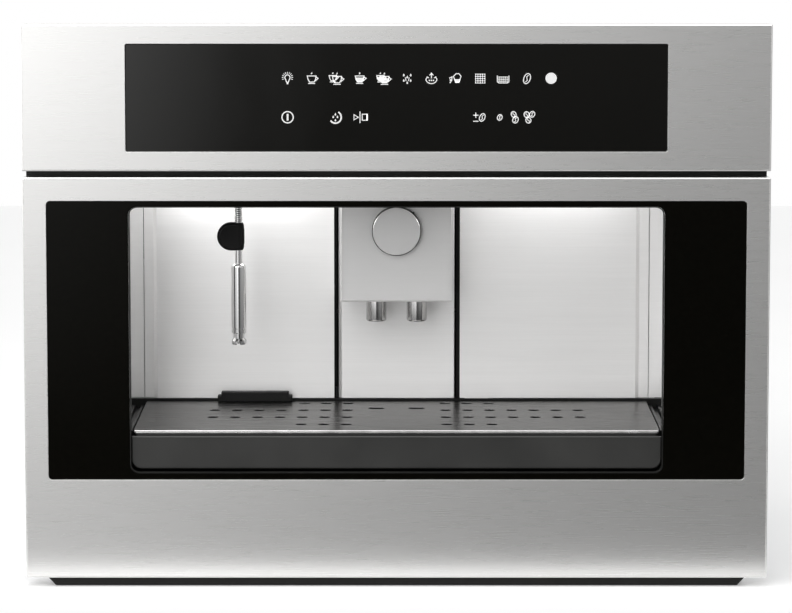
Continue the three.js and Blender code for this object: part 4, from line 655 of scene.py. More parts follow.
class StudioLook(bpy.types.PropertyGroup):
    """Light and camera of the studio."""
    softbox_strength: bpy.props.FloatProperty(
        name="Softbox", description="Power of the large soft lamp", subtype="POWER", min=0,
        default=18.0)
    room_light: bpy.props.FloatProperty(
        name="Room light", description="Strength of the plain room light", min=0, max=3,
        default=0.75)
    cavity_glow: bpy.props.FloatProperty(
        name="Cavity glow", description="Power of the two small lamps in the cavity together",
        subtype="POWER", min=0, default=0.24)
    lens: bpy.props.FloatProperty(
        name="Lens", description="Focal length in millimetres", min=20, max=300, default=161.9)


def look():
    return bpy.context.scene.coffee_machine_look


def studio():
    return bpy.context.scene.coffee_machine_studio


# ---- printed symbols ----
PIXEL = 0.8008  # millimetres of the front for one unit of the symbols' drawings
SYMBOL_MIDDLE = (-0.5, 394.8)
INK_RISE, INK_DEPTH = 0.06, 0.1  # above the glass, and the print's whole thickness
TOP, LOW = 19.2, -19.2  # heights of the two rows


def stroke(shape, points, width, front, back, closed=False):
    """A line of even width with mitred corners, as a thin raised ribbon."""
    left, right = [], []
    count = len(points)
    for i, (x, z) in enumerate(points):
        before = points[i - 1] if closed or i else points[i]
        after = points[(i + 1) % count] if closed or i < count - 1 else points[i]
        into = Vector((x - before[0], z - before[1]))
        away = Vector((after[0] - x, after[1] - z))
        into = away.copy() if into.length < 1e-6 else into
        away = into.copy() if away.length < 1e-6 else away
        into.normalize()
        away.normalize()
        side = Vector((-into.y - away.y, into.x + away.x))
        side = Vector((-into.y, into.x)) if side.length < 1e-6 else side.normalized()
        reach = width / 2 / max(0.6, side.dot(Vector((-into.y, into.x))))
        left.append((x + side.x * reach, z + side.y * reach))
        right.append((x - side.x * reach, z - side.y * reach))
    if closed:
        edges = ((left, front), (right, front), (right, back), (left, back))
        shape.bands([shape.loop([(x, y, z) for x, z in edge]) for edge, y in edges], closed=True)
    else:
        patch(shape, left + right[::-1], front, back)


def patch(shape, outline, front, back):
    """A filled flat form, slightly raised."""
    near = shape.loop([(x, front, z) for x, z in outline])
    far = shape.loop([(x, back, z) for x, z in outline])
    shape.band(near, far)
    shape.cap(near)
    shape.cap(far)


class Pen:
    """Draws the touch symbols onto the glass, each about its own middle."""

    def __init__(self, shape, front, back, width):
        self.shape, self.front, self.back, self.width = shape, front, back, width
        self.middle = (0, 0)

    def move(self, x, z):
        self.middle = (x, z)

    def at(self, points):
        x, z = self.middle
        return [((x + u) * PIXEL + SYMBOL_MIDDLE[0], (z + v) * PIXEL + SYMBOL_MIDDLE[1])
                for u, v in points]

    def line(self, points, weight=1.0, closed=False):
        stroke(self.shape, self.at(points), self.width * weight, self.front, self.back, closed)

    def fill(self, points):
        patch(self.shape, self.at(points), self.front, self.back)

    def dot(self, x, z, radius):
        self.fill(oval(x, z, radius, radius, 24))

    def drops(self, size, places):
        for x, z in places:
            round_end = curve(x, z - size * 0.2, size * 0.8, size * 0.9, 30, -210, 8)
            self.fill([(x, z + size * 1.5)] + round_end)

    def bean(self, rx, rz, tilt=-25):
        self.line(oval(0, 0, rx, rz, 20, tilt), closed=True)
        seam = ((0.1, 0.75), (-0.28, 0.3), (0.28, -0.3), (-0.1, -0.75))
        self.line([spun(u * rx, v * rz, tilt) for u, v in seam], 0.8)

    def cup(self, filled, size):
        def sized(*points):
            return [(u * size, v * size) for u, v in points]

        self.line(sized((-4.4, 2.6), (-3.8, -0.6), (-2.2, -3.4), (2.2, -3.4), (3.8, -0.6),
                        (4.2, 2.6)), closed=True)
        if filled:
            self.fill(sized((-4.0, 1.0), (-3.4, -1.0), (-2.0, -3.2), (2.0, -3.2), (3.5, -1.0),
                            (3.9, 1.0)))
        self.line(sized((4.1, 1.8), (6.3, 0.2), (3.4, -2.4)))
        self.line(sized((-3.6, -4.8), (3.4, -4.8)))
        self.line(sized((-0.9, 4.6), (0.2, 5.2), (-0.2, 6.2)), 0.9)


def draw_symbols(pen):
    """The two rows of symbols, left to right; x from the panel's middle, z from the rows'."""
    pen.move(-107.5, TOP)  # lamp with rays
    pen.line(curve(0, 1.0, 2.6, 2.7, -50, 230, 14))
    for side in (-1, 1):
        pen.line([(1.7 * side, -1.1), (0.9 * side, -3.6)])
    pen.fill([(-1.2, -3.2), (1.2, -3.2), (0.7, -5.6), (-0.7, -5.6)])
    for angle in range(-20, 201, 22):
        a = math.radians(angle)
        pen.line([(r * math.cos(a), 1.0 + r * math.sin(a)) for r in (3.9, 5.6)], 0.75)

    for x, rise, filled, size in (
            (-83.4, 0, False, 1.0), (-62.4, 0.8, False, 0.85), (-58.2, -0.6, False, 1.05),
            (-35.8, 0, True, 1.0), (-15.2, 0.8, True, 0.85), (-11.2, -0.6, True, 1.05)):
        pen.move(x, TOP + rise)
        pen.cup(filled, size)

    pen.move(11.3, TOP)  # steam
    pen.drops(1.1, ((-3.4, 3.4), (3.4, 3.4), (0, 1.4), (-3.4, -2.0), (3.4, -2.0), (0, -4.2)))
    for side in (-1, 1):
        pen.line([(1.9 * side, 1.2), (1.1 * side, -2.4)], 0.8)

    pen.move(35.3, TOP)  # rinse basin
    pen.line(curve(0, 0, 5.6, 5.0, 190, 350, 14))
    for side in (-1, 1):
        pen.line([(5.5 * side, -0.8), (4.2 * side, 1.6), (2.6 * side, 0.6)])
    pen.line([(-1.8, 3.2), (0, 5.4), (1.8, 3.2)])
    pen.line([(0, 4.8), (0, 0.2)])
    for x in (-2, 0, 2):
        pen.dot(x, -1.8, 0.75)

    pen.move(59.0, TOP)  # scoop with powder
    pen.line([(-1.8, 2.2), (0.6, 4.8), (3.6, 4.9), (5.6, 2.2), (3.8, -3.6), (0.2, -3.6)],
             closed=True)
    pen.fill([(-0.8, -0.6), (4.8, -0.6), (3.6, -4.0), (0.4, -4.4)])
    pen.line([(-6.0, 0.4), (-3.2, 1.8), (-3.6, -1.4), (-5.4, -4.4)], 1.2)
    pen.dot(-4.9, -1.4, 0.8)

    pen.move(83.7, TOP)  # sieve
    for k in range(-2, 3):
        pen.line([(k * 2.3, 4.8), (k * 2.3, -4.8)], 0.62)
        pen.line([(-5.0, k * 2.2), (5.0, k * 2.2)], 0.62)

    pen.move(106.4, TOP)  # basket
    pen.line([(-5.7, 3.0), (-5.7, -3.2), (-4.2, -4.3), (4.2, -4.3), (5.7, -3.2), (5.7, 3.0)])
    for k in range(-2, 3):
        pen.line([(k * 2.0, 2.0), (k * 2.0, -3.4)], 0.6)
    for z in (1.6, -0.6, -2.6):
        pen.line([(-4.8, z), (4.8, z)], 0.6)

    pen.move(154.0, TOP)
    pen.dot(0, 0.3, 5.6)

    pen.move(-107.5, LOW)  # power
    pen.line(oval(0, 0, 5.6, 5.6, 32), 1.25, closed=True)
    pen.line([(0, 3.3), (0, -3.3)], 2.0)

    pen.move(-60.0, LOW)  # rinse
    pen.line(curve(0, 0, 5.8, 5.9, 215, 420, 22), 1.6)
    pen.drops(1.05, ((0, 2.8), (-2.2, 0.2), (2.0, 0.2), (0, -3.0)))

    pen.move(-35.6, LOW)  # jog
    pen.line([(-6.0, 2.6), (-1.6, 0), (-6.0, -2.6)], closed=True)
    pen.line([(0, 5.8), (0, -5.8)])
    pen.line([(2.2, 3.0), (7.0, 3.0), (7.0, -3.0), (2.2, -3.0)], closed=True)
    pen.line([(7.1, 3.2), (7.1, -3.2)], 1.6)

    pen.move(79.4, LOW)  # strength
    for z in (2.0, -4.0):
        pen.line([(-2.6, z), (2.6, z)])
    pen.line([(0, 4.6), (0, -0.6)])

    for x, z, rx, rz, tilt in (
            (130.1, TOP, 3.2, 5.2, -20), (85.8, LOW - 0.2, 2.6, 4.0, -25),
            (103.2, LOW - 0.2, 2.3, 2.9, -25), (117.0, LOW + 2.8, 2.4, 2.9, 20),
            (118.8, LOW - 2.6, 2.7, 3.3, -25), (129.9, LOW + 2.6, 2.5, 3.0, 15),
            (135.3, LOW + 2.9, 2.5, 3.0, -35), (131.6, LOW - 3.0, 2.5, 2.9, 25)):
        pen.move(x, z)
        pen.bean(rx, rz, tilt)


# ---- pieces ----
SHEET = 1.5  # the folded steel
MOUTH_RIM = 0.15
FRONT_CORNER = 0.9
PANE_GAP = 0.3  # between the steel and the glass
PANE_RIM, OPENING_RIM = 0.5, 0.4
OPENING_BOX = (-214.25, 214.25, 92.6, 308.1)
OPENING_CORNER = 7.5
EDGING = [(0.25, -198.7), (0.25, -194.2), (0.95, -194.2), (0.95, -198.6), (0.85, -198.8),
          (0.4, -198.8)]  # insets from the opening's edge and places along Y


def add_panel(front, pane, pane_name, finish, corner, *holes):
    """A folded steel front and the pane in its mouth."""
    low, high = box_mm(front)
    shape = Shape()
    pressed_front(
        shape, face_of(front, FRONT_CORNER), face_of(pane, corner + PANE_GAP, PANE_GAP),
        low.y, high.y, look().edge_round / MM)
    ride(shape.build(front + "_front", "front_steel"), "machine", "brushed_steel", front)

    low, high = box_mm(pane)
    shape = Shape()
    framed_plate(shape, face_of(pane, corner), holes, low.y, high.y, PANE_RIM, OPENING_RIM)
    ride(shape.build(pane_name, finish), "machine", "black_glass", pane)


def add_front():
    """The two folded fronts with their panes, the symbols and the opening's edging."""
    add_panel("control_fascia", "control_glass", "control_pane", "black_glass", 1.2)
    ink = box_mm("control_glass")[0].y - INK_RISE
    shape = Shape()
    draw_symbols(Pen(shape, ink, ink + INK_DEPTH, look().symbol_stroke / MM))
    ride(shape.build("touch_symbols", "printed_white", weighted=False), "machine", "lamp_lens")

    opening = rounded(*OPENING_BOX, OPENING_CORNER, steps=10)
    add_panel("lower_fascia", "window_bezel", "window_pane", "frame_glass", 3.0, opening)
    shape = Shape()
    loops = sweep(shape, opening, EDGING)
    shape.band(loops[-1], loops[0])
    ride(shape.build("opening_edging", "edging_plastic"), "machine", "grey_plastic")


DOOR_PLAY = 2.0  # above and below the door's panel, where the pins show
STEM_MIDDLE = 65.5  # of the spout's stem, above the housing's foot
STEM_HALF = 8.5
STEM_DOWN, STEM_UP = 30.5, 25.5  # the spout's travel and a little play
SLOT_HALF = 7.9
PIVOT = (-50.8, -30.1)


def add_door():
    """The service door with its slot, and the dark pins it turns on."""
    low, high = box_mm("service_door")
    left, foot, top = -high.x, low.z + DOOR_PLAY, high.z - DOOR_PLAY
    plan = [(left + 2.6, low.y), (high.x - 0.5, low.y), (high.x, low.y + 0.5), (high.x, high.y),
            (left, high.y), (left, low.y + 2.6)]
    stem = box_mm("spout_housing")[0].z + STEM_MIDDLE
    slot_foot, slot_top = stem - STEM_HALF - STEM_DOWN, stem + STEM_HALF + STEM_UP
    shape = Shape()
    rings = [shape.loop([(x, y, z) for x, y in plan]) for z in (foot, slot_foot, slot_top, top)]
    shape.cap(rings[0])
    shape.cap(rings[-1])
    for a, b in zip(rings, rings[1:]):
        for i in (1, 2, 4, 5):
            j = (i + 1) % len(plan)
            shape.faces.append((a[i], a[j], b[j], b[i]))
    holes = []
    for i, y in ((0, low.y), (3, high.y)):
        edge = [ring[i] for ring in rings] + [ring[i + 1] for ring in reversed(rings)]
        slot = corners(-SLOT_HALF, SLOT_HALF, slot_foot, slot_top)
        holes.append(shape.loop([(x, y, z) for x, z in slot]))
        shape.cap(edge, holes[-1])
    shape.band(*holes)
    ride(shape.build("door_panel", "wall_steel", crease=20), "service_door", "brushed_steel",
         "service_door")

    shape = Shape()
    x, y = PIVOT
    cheek = free_outline(corners(x, x + 2.4, y - 1.0, y + 3.1))
    for end, toward in ((foot, 1), (top, -1)):
        for radius, length in ((1.6, 9 * toward), (1.2, -DOOR_PLAY * toward)):
            pin = [(0, 0), (radius, 0), (radius, length), (0, length)]
            turned(shape, pin, (x, y, end), "z", 24)
        prism(shape, cheek, [(0, end + 0.3 * toward), (0, end + 8.7 * toward)], "z")
    ride(shape.build("door_pins", "black_plastic", crease=20), "service_door", "black_plastic")


TRAY_FACE_HEIGHT, TRAY_FACE_THICK, TRAY_WALL, TRAY_LIP = 26.4, 3.4, 2.5, 0.3
HOLE_RADIUS = 4.7
HOLE_PITCH = (18.4, 37.5)
FIRST_HOLE = (40.8, -162.5)
DRAIN_ROW = -77.0
PLATE_THICK = 0.5


def add_tray():
    """The drip tray, the perforated cup plate with its hem, and the grip at its rear."""
    low, high = box_mm("drip_tray")
    shape = Shape()
    face = rounded(low.x, high.x, low.z, low.z + TRAY_FACE_HEIGHT, 8.0, 0.6, 8)
    soft_block(shape, face, low.y, low.y + TRAY_FACE_THICK, 0.9)
    tub = rounded(low.x + 1.5, high.x - 1.5, low.y + TRAY_FACE_THICK, high.y, 4.0)
    profile = arc(1.5, low.z, 0, low.z + 1.5, 3, True)
    profile += [(0, high.z - TRAY_LIP), (TRAY_LIP, high.z), (TRAY_WALL - TRAY_LIP, high.z),
                (TRAY_WALL, high.z - TRAY_LIP), (TRAY_WALL, low.z + 6.0)]
    profile += arc(TRAY_WALL, low.z + 6.0, 6.0, low.z + TRAY_WALL, 4)
    prism(shape, tub, profile, "z")
    ride(shape.build("drip_tray_tub", "grey_plastic"), "drip_tray", "grey_plastic", "drip_tray")

    low, high = box_mm("cup_grate")
    shape = Shape()
    holes = []
    for row in range(4):
        y = FIRST_HOLE[1] + row * HOLE_PITCH[1]
        for column in range(3 if row in (0, 3) else 7):
            x = FIRST_HOLE[0] + column * HOLE_PITCH[0]
            holes += [circle(x, y, HOLE_RADIUS), circle(-x, y, HOLE_RADIUS)]
    for x in (-16.8, 16.8):
        holes.append(rounded(x - 7, x + 7, DRAIN_ROW - HOLE_RADIUS, DRAIN_ROW + HOLE_RADIUS,
                             HOLE_RADIUS - 0.01, steps=7))
    plate = rounded(low.x, high.x, low.y + 1.1, high.y, 2.0)
    framed_plate(shape, plate, holes, high.z - PLATE_THICK, high.z, 0.12, 0.12, "z", 2)
    for y in (high.y - 1.6, low.y + 1.7):
        flange = rounded(low.x + 2, high.x - 2, low.z, high.z - 0.45, 0.3)
        soft_block(shape, flange, y, y + 0.8, 0.2)
    ride(shape.build("cup_plate", "plate_steel"), "cup_grate", "polished_steel", "cup_grate")

    shape = Shape()
    roll = rounded(low.x + 0.6, high.x - 0.6, high.z - 1.5, high.z, 0.7, steps=5)
    soft_block(shape, roll, low.y, low.y + 1.6, 0.7, steps=5)
    skirt = rounded(low.x + 2, high.x - 2, low.z, high.z - 1.4, 0.3)
    soft_block(shape, skirt, low.y + 0.3, low.y + 1.2, 0.2)
    ride(shape.build("plate_hem", "turned_steel"), "cup_grate", "polished_steel")

    low, high = box_mm("grate_grip")
    step, shoulder = 3, high.z - 3
    stepped = [(low.x, low.z), (high.x, low.z), (high.x, shoulder), (high.x - step, shoulder),
               (high.x - step, high.z), (low.x + step, high.z), (low.x + step, shoulder),
               (low.x, shoulder)]
    shape = Shape()
    soft_block(shape, free_outline(rounded_corners(stepped, 0.9)), low.y, high.y, 0.8)
    ride(shape.build("plate_grip", "rubber"), "cup_grate", "rubber", "grate_grip")


def add_spout():
    """The spout's body, its dial on a black barrel whose dark side is painted shade round the dial,
    and the two coffee nozzles.
    """
    low, high = box_mm("spout_housing")
    seam, wall = 2.0, 1.5
    profile = [(seam + 0.35, low.y), (seam + 0.3, low.y + 0.7), (seam, low.y + 0.7), (seam, low.y)]
    profile += arc(1.0, low.y, 0, low.y + 1.0, 4, True)
    profile += [(0, high.y - 0.2), (0.2, high.y), (wall, high.y), (wall, low.y + wall)]
    shape = Shape()
    prism(shape, face_of("spout_housing", 1.2), profile)
    ride(shape.build("spout_body", "spout_steel"), "spout", "brushed_steel", "spout_housing")

    low, high = box_mm("spout_knob")
    centre = (0, high.y, (low.z + high.z) / 2)
    radius, length = high.x, high.y - low.y
    groove = look().knob_groove / MM
    rim = length - 1.4
    shape = Shape()
    turned(shape, [
        (0, rim), (radius - 0.9, rim), (radius - 0.6, rim + 0.3), (radius - 0.6, length - 0.5),
        (radius - 1.1, length), (0, length)], centre, "-y", 96)
    ride(shape.build("spout_dial", "knob_steel"), "spout", "brushed_steel", "spout_knob")

    # the barrel is black to paint shade round the dial's side and rim, where its shadow and dark
    # reflection fall
    shape = Shape()
    turned(shape, [
        (0, 0), (radius - 1.4, 0), (radius - 1.4, 0.9), (radius - 0.2, 1.1), (radius, 1.4),
        (radius, rim - 0.5), (radius - 0.4, rim - 0.1), (radius - 0.7, rim - 0.1),
        (radius - 0.7 - groove, rim - 0.6), (0, rim - 0.6)], centre, "-y", 96)
    for angle, width, rise in ((103, 2.4, 1.8), (47, 0.7, 0.9)):  # a lug and a small mark
        foot, head = radius - 0.5, radius + rise
        half = 1.4 * width
        turned(shape, [
            (foot, 1.6), (head, 1.6), (head, rim - 1.2), (radius + rise * 0.6, rim - 0.6),
            (foot, rim - 0.6), (foot, 1.6)], centre, "-y", 6, angle - half, 2 * half)
    ride(shape.build("spout_dial_barrel", "black_plastic"), "spout", "black_plastic")

    for node in ("nozzle_left", "nozzle_right"):
        low, high = box_mm(node)
        centre = ((low.x + high.x) / 2, (low.y + high.y) / 2, low.z)
        shape = Shape()
        turned(shape, [
            (3.5, 1.2), (4.1, 0.2), (5.9, 0), (7.2, 0.15), (8.0, 0.7), (8.4, 1.8), (8.4, 16.8),
            (8.1, 17.2), (8.1, 17.9), (8.4, 18.3), (8.4, 18.8), (8.2, 19.0), (5.0, 19.0),
            (5.0, 25.5), (3.5, 25.5)], centre, "z", 64, bored=True)
        ride(shape.build("coffee_" + node, "turned_steel"), "spout", "polished_steel", node)


WAND_X, WAND_Y, WAND_PIVOT = -129.0, -134.0, 309.0
PIPE_RADIUS = 3.0
TAB_CORNER = 6.5


def add_wand():
    """The wand's rose in the ceiling, its pipe, the finger grip and the froth sleeve."""
    centre = (WAND_X, WAND_Y, WAND_PIVOT)
    shape = Shape()
    turned(shape, [
        (0, 18), (4.3, 18), (4.3, 9), (7.5, 9), (8, 9.5), (8, 15.6), (8.6, 16.7), (14.3, 16.7),
        (15, 17.4), (15, 20.7), (10.7, 20.7), (10.7, 36.2), (0, 36.2)], centre, "z", 64)
    ride(shape.build("wand_ceiling_rose", "chrome"), "machine", "chrome", "wand_socket")

    foot = box_mm("wand_tube")[0].z - WAND_PIVOT
    profile = [(0, 0), (PIPE_RADIUS, -0.2)]
    for k in range(8):
        top = -6.0 - k * 1.6
        profile += [(3.25, top - 0.1), (3.4, top - 0.5), (3.4, top - 0.9), (3.1, top - 1.2)]
    profile += [(PIPE_RADIUS, -24), (PIPE_RADIUS, foot + 0.3), (PIPE_RADIUS - 0.3, foot), (0, foot)]
    shape = Shape()
    turned(shape, profile, centre, "z", 40)
    turned(shape, [(2.0, -3.4), (4.6, -3.4), (5.0, -3.0), (5.0, 3.0), (4.6, 3.4), (2.0, 3.4)],
           centre, "x", 40, bored=True)
    ride(shape.build("wand_pipe", "chrome"), "wand", "chrome", "wand_tube")

    low, high = box_mm("wand_grip")
    radius, middle, length = (high.z - low.z) / 2, (low.z + high.z) / 2, high.z - low.z
    right, left = high.x - TAB_CORNER, low.x + radius
    tab = [(left, low.z)]
    tab += curve(right, low.z + TAB_CORNER, TAB_CORNER, TAB_CORNER, -90, 0, 6)
    tab += curve(right, high.z - TAB_CORNER, TAB_CORNER, TAB_CORNER, 0, 90, 6)
    tab += curve(left, middle, radius, radius, 90, 266, 22)
    shape = Shape()
    prism(shape, free_outline(tab), rims(low.y, high.y, 2.2, 5))
    swell = [(3.25 + 1.35 * math.sin(a), 0.2 + 4.2 * (1 - math.cos(a))) for a in
             (math.radians(step) for step in range(0, 91, 15))]
    swell += [(radial, length - rise) for radial, rise in reversed(swell)]
    turned(shape, swell, (WAND_X, WAND_Y, low.z), "z", 36, bored=True)
    ride(shape.build("wand_finger_grip", "rubber"), "wand", "rubber", "wand_grip")

    low, high = box_mm("froth_sleeve")
    length = high.z - low.z
    shape = Shape()
    turned(shape, [
        (3.3, 0), (5.7, 0), (6.1, 0.4), (6.1, 3.0), (5.6, 3.3), (5.6, 4.0), (6.1, 4.3),
        (6.1, length - 2.4), (5.9, length - 1.4), (4.4, length - 0.1), (4.0, length),
        (3.3, length)], (WAND_X, WAND_Y, low.z), "z", 64, bored=True)
    ride(shape.build("wand_froth_sleeve", "chrome"), "wand", "chrome", "froth_sleeve")


LID_TAB_HALF, LID_TAB = 13, 6
DIAL_RADIUS, DIAL_WAVE, DIAL_WAVES = 13.4, 0.6, 16


def add_lids():
    """The lids of the tank and the hopper, and the grind dial."""
    for node, piece_name in (("tank_lid", "water_lid"), ("hopper_lid", "bean_lid")):
        low, high = box_mm(node)
        middle, edge = (low.x + high.x) / 2, low.y + LID_TAB
        left, right = middle - LID_TAB_HALF, middle + LID_TAB_HALF
        plan = [(low.x, edge), (left, edge), (left, low.y), (right, low.y), (right, edge),
                (high.x, edge), (high.x, high.y), (low.x, high.y)]
        profile = arc(0.6, low.z, 0, low.z + 0.6, 2, True) + arc(0, high.z - 0.8, 0.8, high.z, 3)
        profile += [(3.0, high.z), (3.4, high.z - 0.5)]
        shape = Shape()
        prism(shape, free_outline(rounded_corners(plan, 3.0)), profile, "z")
        ride(shape.build(piece_name, "black_plastic"), node, "black_plastic", node)

    low, high = box_mm("grind_knob")
    x, y, foot, top = (low.x + high.x) / 2, (low.y + high.y) / 2, high.z - 7.5, high.z

    def grip(inset):
        points = []
        for k in range(96):
            turn = 2 * math.pi * k / 96
            radius = DIAL_RADIUS - inset + DIAL_WAVE * math.cos(turn * DIAL_WAVES)
            points.append((x + radius * math.cos(turn), y + radius * math.sin(turn)))
        return points

    shape = Shape()
    profile = arc(0.5, foot, 0, foot + 0.5, 2, True) + arc(0, top - 1.6, 1.2, top - 0.4, 4)
    prism(shape, grip, profile + [(2.6, top - 0.4), (3.0, top - 0.8)], "z")
    turned(shape, [(0, low.z), (3.6, low.z), (4.0, low.z + 0.4), (4.0, foot - 0.4), (3.6, foot),
                   (0, foot)], (x, y, 0), "z", 32)
    pointer = free_outline(corners(x - 0.7, x + 0.7, y - 11.5, y - 3.0))
    prism(shape, pointer, [(0, top - 1.0), (0, top - 0.2), (0.2, top)], "z")
    ride(shape.build("grind_dial", "black_plastic"), "grind_knob", "black_plastic", "grind_knob")


SUNK = 0.02  # how far a screw head's foot is sunk into the sheet
INLET_PINS = ((208.5, 81.5), (221.5, 81.5), (215.0, 87.5))
PIN_ROOT, PIN_TIP = 181.5, 195.5


def add_fixings():
    """The casing's screws, the inlet's pins and the switch's two marks."""
    back = box_mm("back_cover")[1].y - SUNK
    foot, left = box_mm("left_side_panel")[0].z, box_mm("left_side_panel")[0].x
    right, top = box_mm("right_side_panel")[1].x, box_mm("top_cover")[1].z
    spots = [(x, back, z) for x in (left + 10, 0, right - 10) for z in (foot + 10, top - 10)]
    spots += [(x, back, (foot + top) / 2) for x in (left + 10, right - 10)]
    ride(screw_heads("back_screws", spots, (0, 1, 0), rise=0.3), "machine", "pale_metal")
    for side, x, outward in (("left", left + SUNK, -1), ("right", right - SUNK, 1)):
        spots = [(x, y, z) for y in (-164, 12, 186) for z in (foot + 9, top - 9)]
        ride(screw_heads(side + "_panel_screws", spots, (outward, 0, 0)), "machine", "pale_metal")
    spots = [(x, y, top - SUNK) for x in (-262, -90, 20, 262) for y in (-166, 189)]
    ride(screw_heads("cover_screws", spots, (0, 0, 1)), "machine", "pale_metal")

    shape = Shape()
    for x, z in INLET_PINS:
        soft_block(shape, rounded(x - 1.2, x + 1.2, z - 2.2, z + 2.2, 0.5), PIN_ROOT, PIN_TIP, 0.4)
    ride(shape.build("inlet_pins", "pale_metal"), "machine", "pale_metal")

    low, high = box_mm("mains_switch")
    x, z, ink = (low.x + high.x) / 2, (low.z + high.z) / 2, high.y + 0.05
    shape = Shape()
    patch(shape, corners(x - 0.3, x + 0.3, z + 2.6, z + 6.0), ink, high.y - 0.3)
    stroke(shape, oval(x, z - 4.4, 1.7, 1.7, 24), 0.5, ink, high.y - 0.3, closed=True)
    ride(shape.build("switch_marks", "printed_white", weighted=False), "mains_switch", "lamp_lens")


# ---- studio ----
CARD_LEVEL = 2.9  # how much brighter than white paper the studio's cards are
FLOOR_GLOW = 0.24
FLOOR_X, FLOOR_FRONT, FLOOR_BACK = 3, -0.28, 3
CAVITY_LAMP_Y, CAVITY_LAMP_Z = -0.105, 0.318
CAMERA_SPOT, CAMERA_DOWN = (0, -3.026, 0.581), 6.23
CAMERA_SHIFT = (-0.0006, -0.07)


def set_room(settings):
    """White to the camera; reflections see bright cards in front and plain white behind."""
    world = bpy.data.worlds.new("studio_room")
    bpy.context.scene.world = world
    room = Nodes(world)
    axes = room.add("SeparateXYZ", {0: room.add("TexCoord").outputs["Generated"]}).outputs
    across, upward = room.span(axes[0], -1, 1, 0, 1), room.span(axes[2], -1, 1, 0, 1)
    cards = room.tones(
        across, WHITE, (0.0, 0.4), (0.30, 0.7), (0.40, 1.0), (0.445, 1.0), (0.48, 0.1),
        (0.63, 0.05), (0.72, 0.2), (1.0, 0.3))
    fall = room.tones(upward, WHITE, (0.42, 0.04), (0.48, 1.0))
    around = room.tones(
        upward, WHITE, (0.0, 0.2), (0.36, 0.1), (0.40, 0.0), (0.55, 0.0), (0.64, 0.3), (1.0, 0.5))
    cards = room.mix("RGBA", 1.0, cards, fall, "MULTIPLY")
    cards = room.mix("RGBA", 1.0, cards, around, "ADD")
    rays = room.add("LightPath").outputs
    shiny = room.calc("MAXIMUM", rays["Is Glossy Ray"], rays["Is Transmission Ray"])
    plain = room.span(shiny, 0, 1, 1.0, 1.0 / CARD_LEVEL)
    behind = room.span(axes[1], -0.1, 0.15, 0, 1)
    colour = room.mix("RGBA", behind, cards, plain)
    level = room.span(shiny, 0, 1, settings.room_light, CARD_LEVEL)
    lit = room.add("Background", {"Color": colour, "Strength": level}).outputs[0]
    white = room.add("Background", {"Color": rgba(WHITE), "Strength": 1.0}).outputs[0]
    seen = room.add("MixShader", {0: rays["Is Camera Ray"], 1: lit, 2: white}).outputs[0]
    room.add("OutputWorld", {"Surface": seen})


def add_floor():
    """White paper that glows a little to the camera and in reflections."""
    paper = Finish("floor_paper")
    haze = paper.noise(3.0, 3.0)
    rays = paper.add("LightPath").outputs
    seen = paper.calc("MAXIMUM", rays["Is Camera Ray"], rays["Is Glossy Ray"])
    glow = paper.calc("MULTIPLY", seen, FLOOR_GLOW)
    paper.put(Emission_Color=rgba(WHITE), Emission_Strength=glow)
    paper.done(
        paper.tones(haze, WHITE, (0.3, 0.86), (0.7, 0.9)),
        paper.spread(haze, 0.85, 0.95),
        paper.bump(paper.noise(300.0), 0.0002, 0.1))
    mesh = bpy.data.meshes.new("floor")
    edge = [(x, y, 0) for x, y in corners(-FLOOR_X, FLOOR_X, FLOOR_FRONT, FLOOR_BACK)]
    mesh.from_pydata(edge, [], [(0, 1, 2, 3)])
    mesh.materials.append(paper.material)
    floor = add_object("floor", mesh)


def add_lamp(name, spot, toward, up, power, width, height):
    """A rectangular lamp that looks along a direction."""
    lamp = bpy.data.lights.new(name, "AREA")
    lamp.shape = "RECTANGLE"
    lamp.size, lamp.size_y = width, height
    lamp.energy = power
    holder = add_object(name, lamp)
    holder.location = spot
    holder.rotation_euler = toward.to_track_quat("-Z", up).to_euler()


def set_studio():
    """Floor, room light, lamps and camera."""
    settings = studio()
    scene = bpy.context.scene
    scene.view_settings.view_transform = "Standard"
    set_room(settings)
    add_floor()
    for name, spot, size, share in (
            ("softbox_top", (-0.5, -1.1, 1.9), 2.4, 1.0),
            ("softbox_left", (-1.9, -1.3, 0.9), 1.7, 0.4)):
        toward = Vector((0, 0, 0.2)) - Vector(spot)
        add_lamp(name, spot, toward, "Y", settings.softbox_strength * share, size, size)
    for side, x, share in (("left", -0.135, 0.6), ("right", 0.135, 0.4)):
        add_lamp("cavity_glow_" + side, (x, CAVITY_LAMP_Y, CAVITY_LAMP_Z),
                 Vector((0, 0.06, -0.12)), "Z", settings.cavity_glow * share, 0.14, 0.03)

    lens = bpy.data.cameras.new("camera")
    lens.lens = settings.lens
    lens.sensor_width = 36
    lens.shift_x, lens.shift_y = CAMERA_SHIFT
    lens.clip_start = 0.05
    camera = add_object("camera", lens)
    camera.location = CAMERA_SPOT
    camera.rotation_euler = (math.radians(90 - CAMERA_DOWN), 0, 0)
    scene.camera = camera


# ---- add-on ----
class CoffeeMachineFinishes(bpy.types.Operator):
    """Makes every finish and gives each plain solid its own"""
    bl_idname = "coffee_machine.finishes"
    bl_label = "Finishes"

    def execute(self, context):
        make_finishes(look())
        dress_solids()
        return {"FINISHED"}


class CoffeeMachineFront(bpy.types.Operator):
    """Builds the two steel fronts, the glass panes and the printed symbols"""
    bl_idname = "coffee_machine.front"
    bl_label = "Front"

    def execute(self, context):
        add_front()
        return {"FINISHED"}


class CoffeeMachineDoor(bpy.types.Operator):
    """Builds the service door and its pins"""
    bl_idname = "coffee_machine.door"
    bl_label = "Service door"

    def execute(self, context):
        add_door()
        return {"FINISHED"}


class CoffeeMachineTray(bpy.types.Operator):
    """Builds the drip tray, the cup plate and its grip"""
    bl_idname = "coffee_machine.tray"
    bl_label = "Drip tray and cup plate"

    def execute(self, context):
        add_tray()
        return {"FINISHED"}


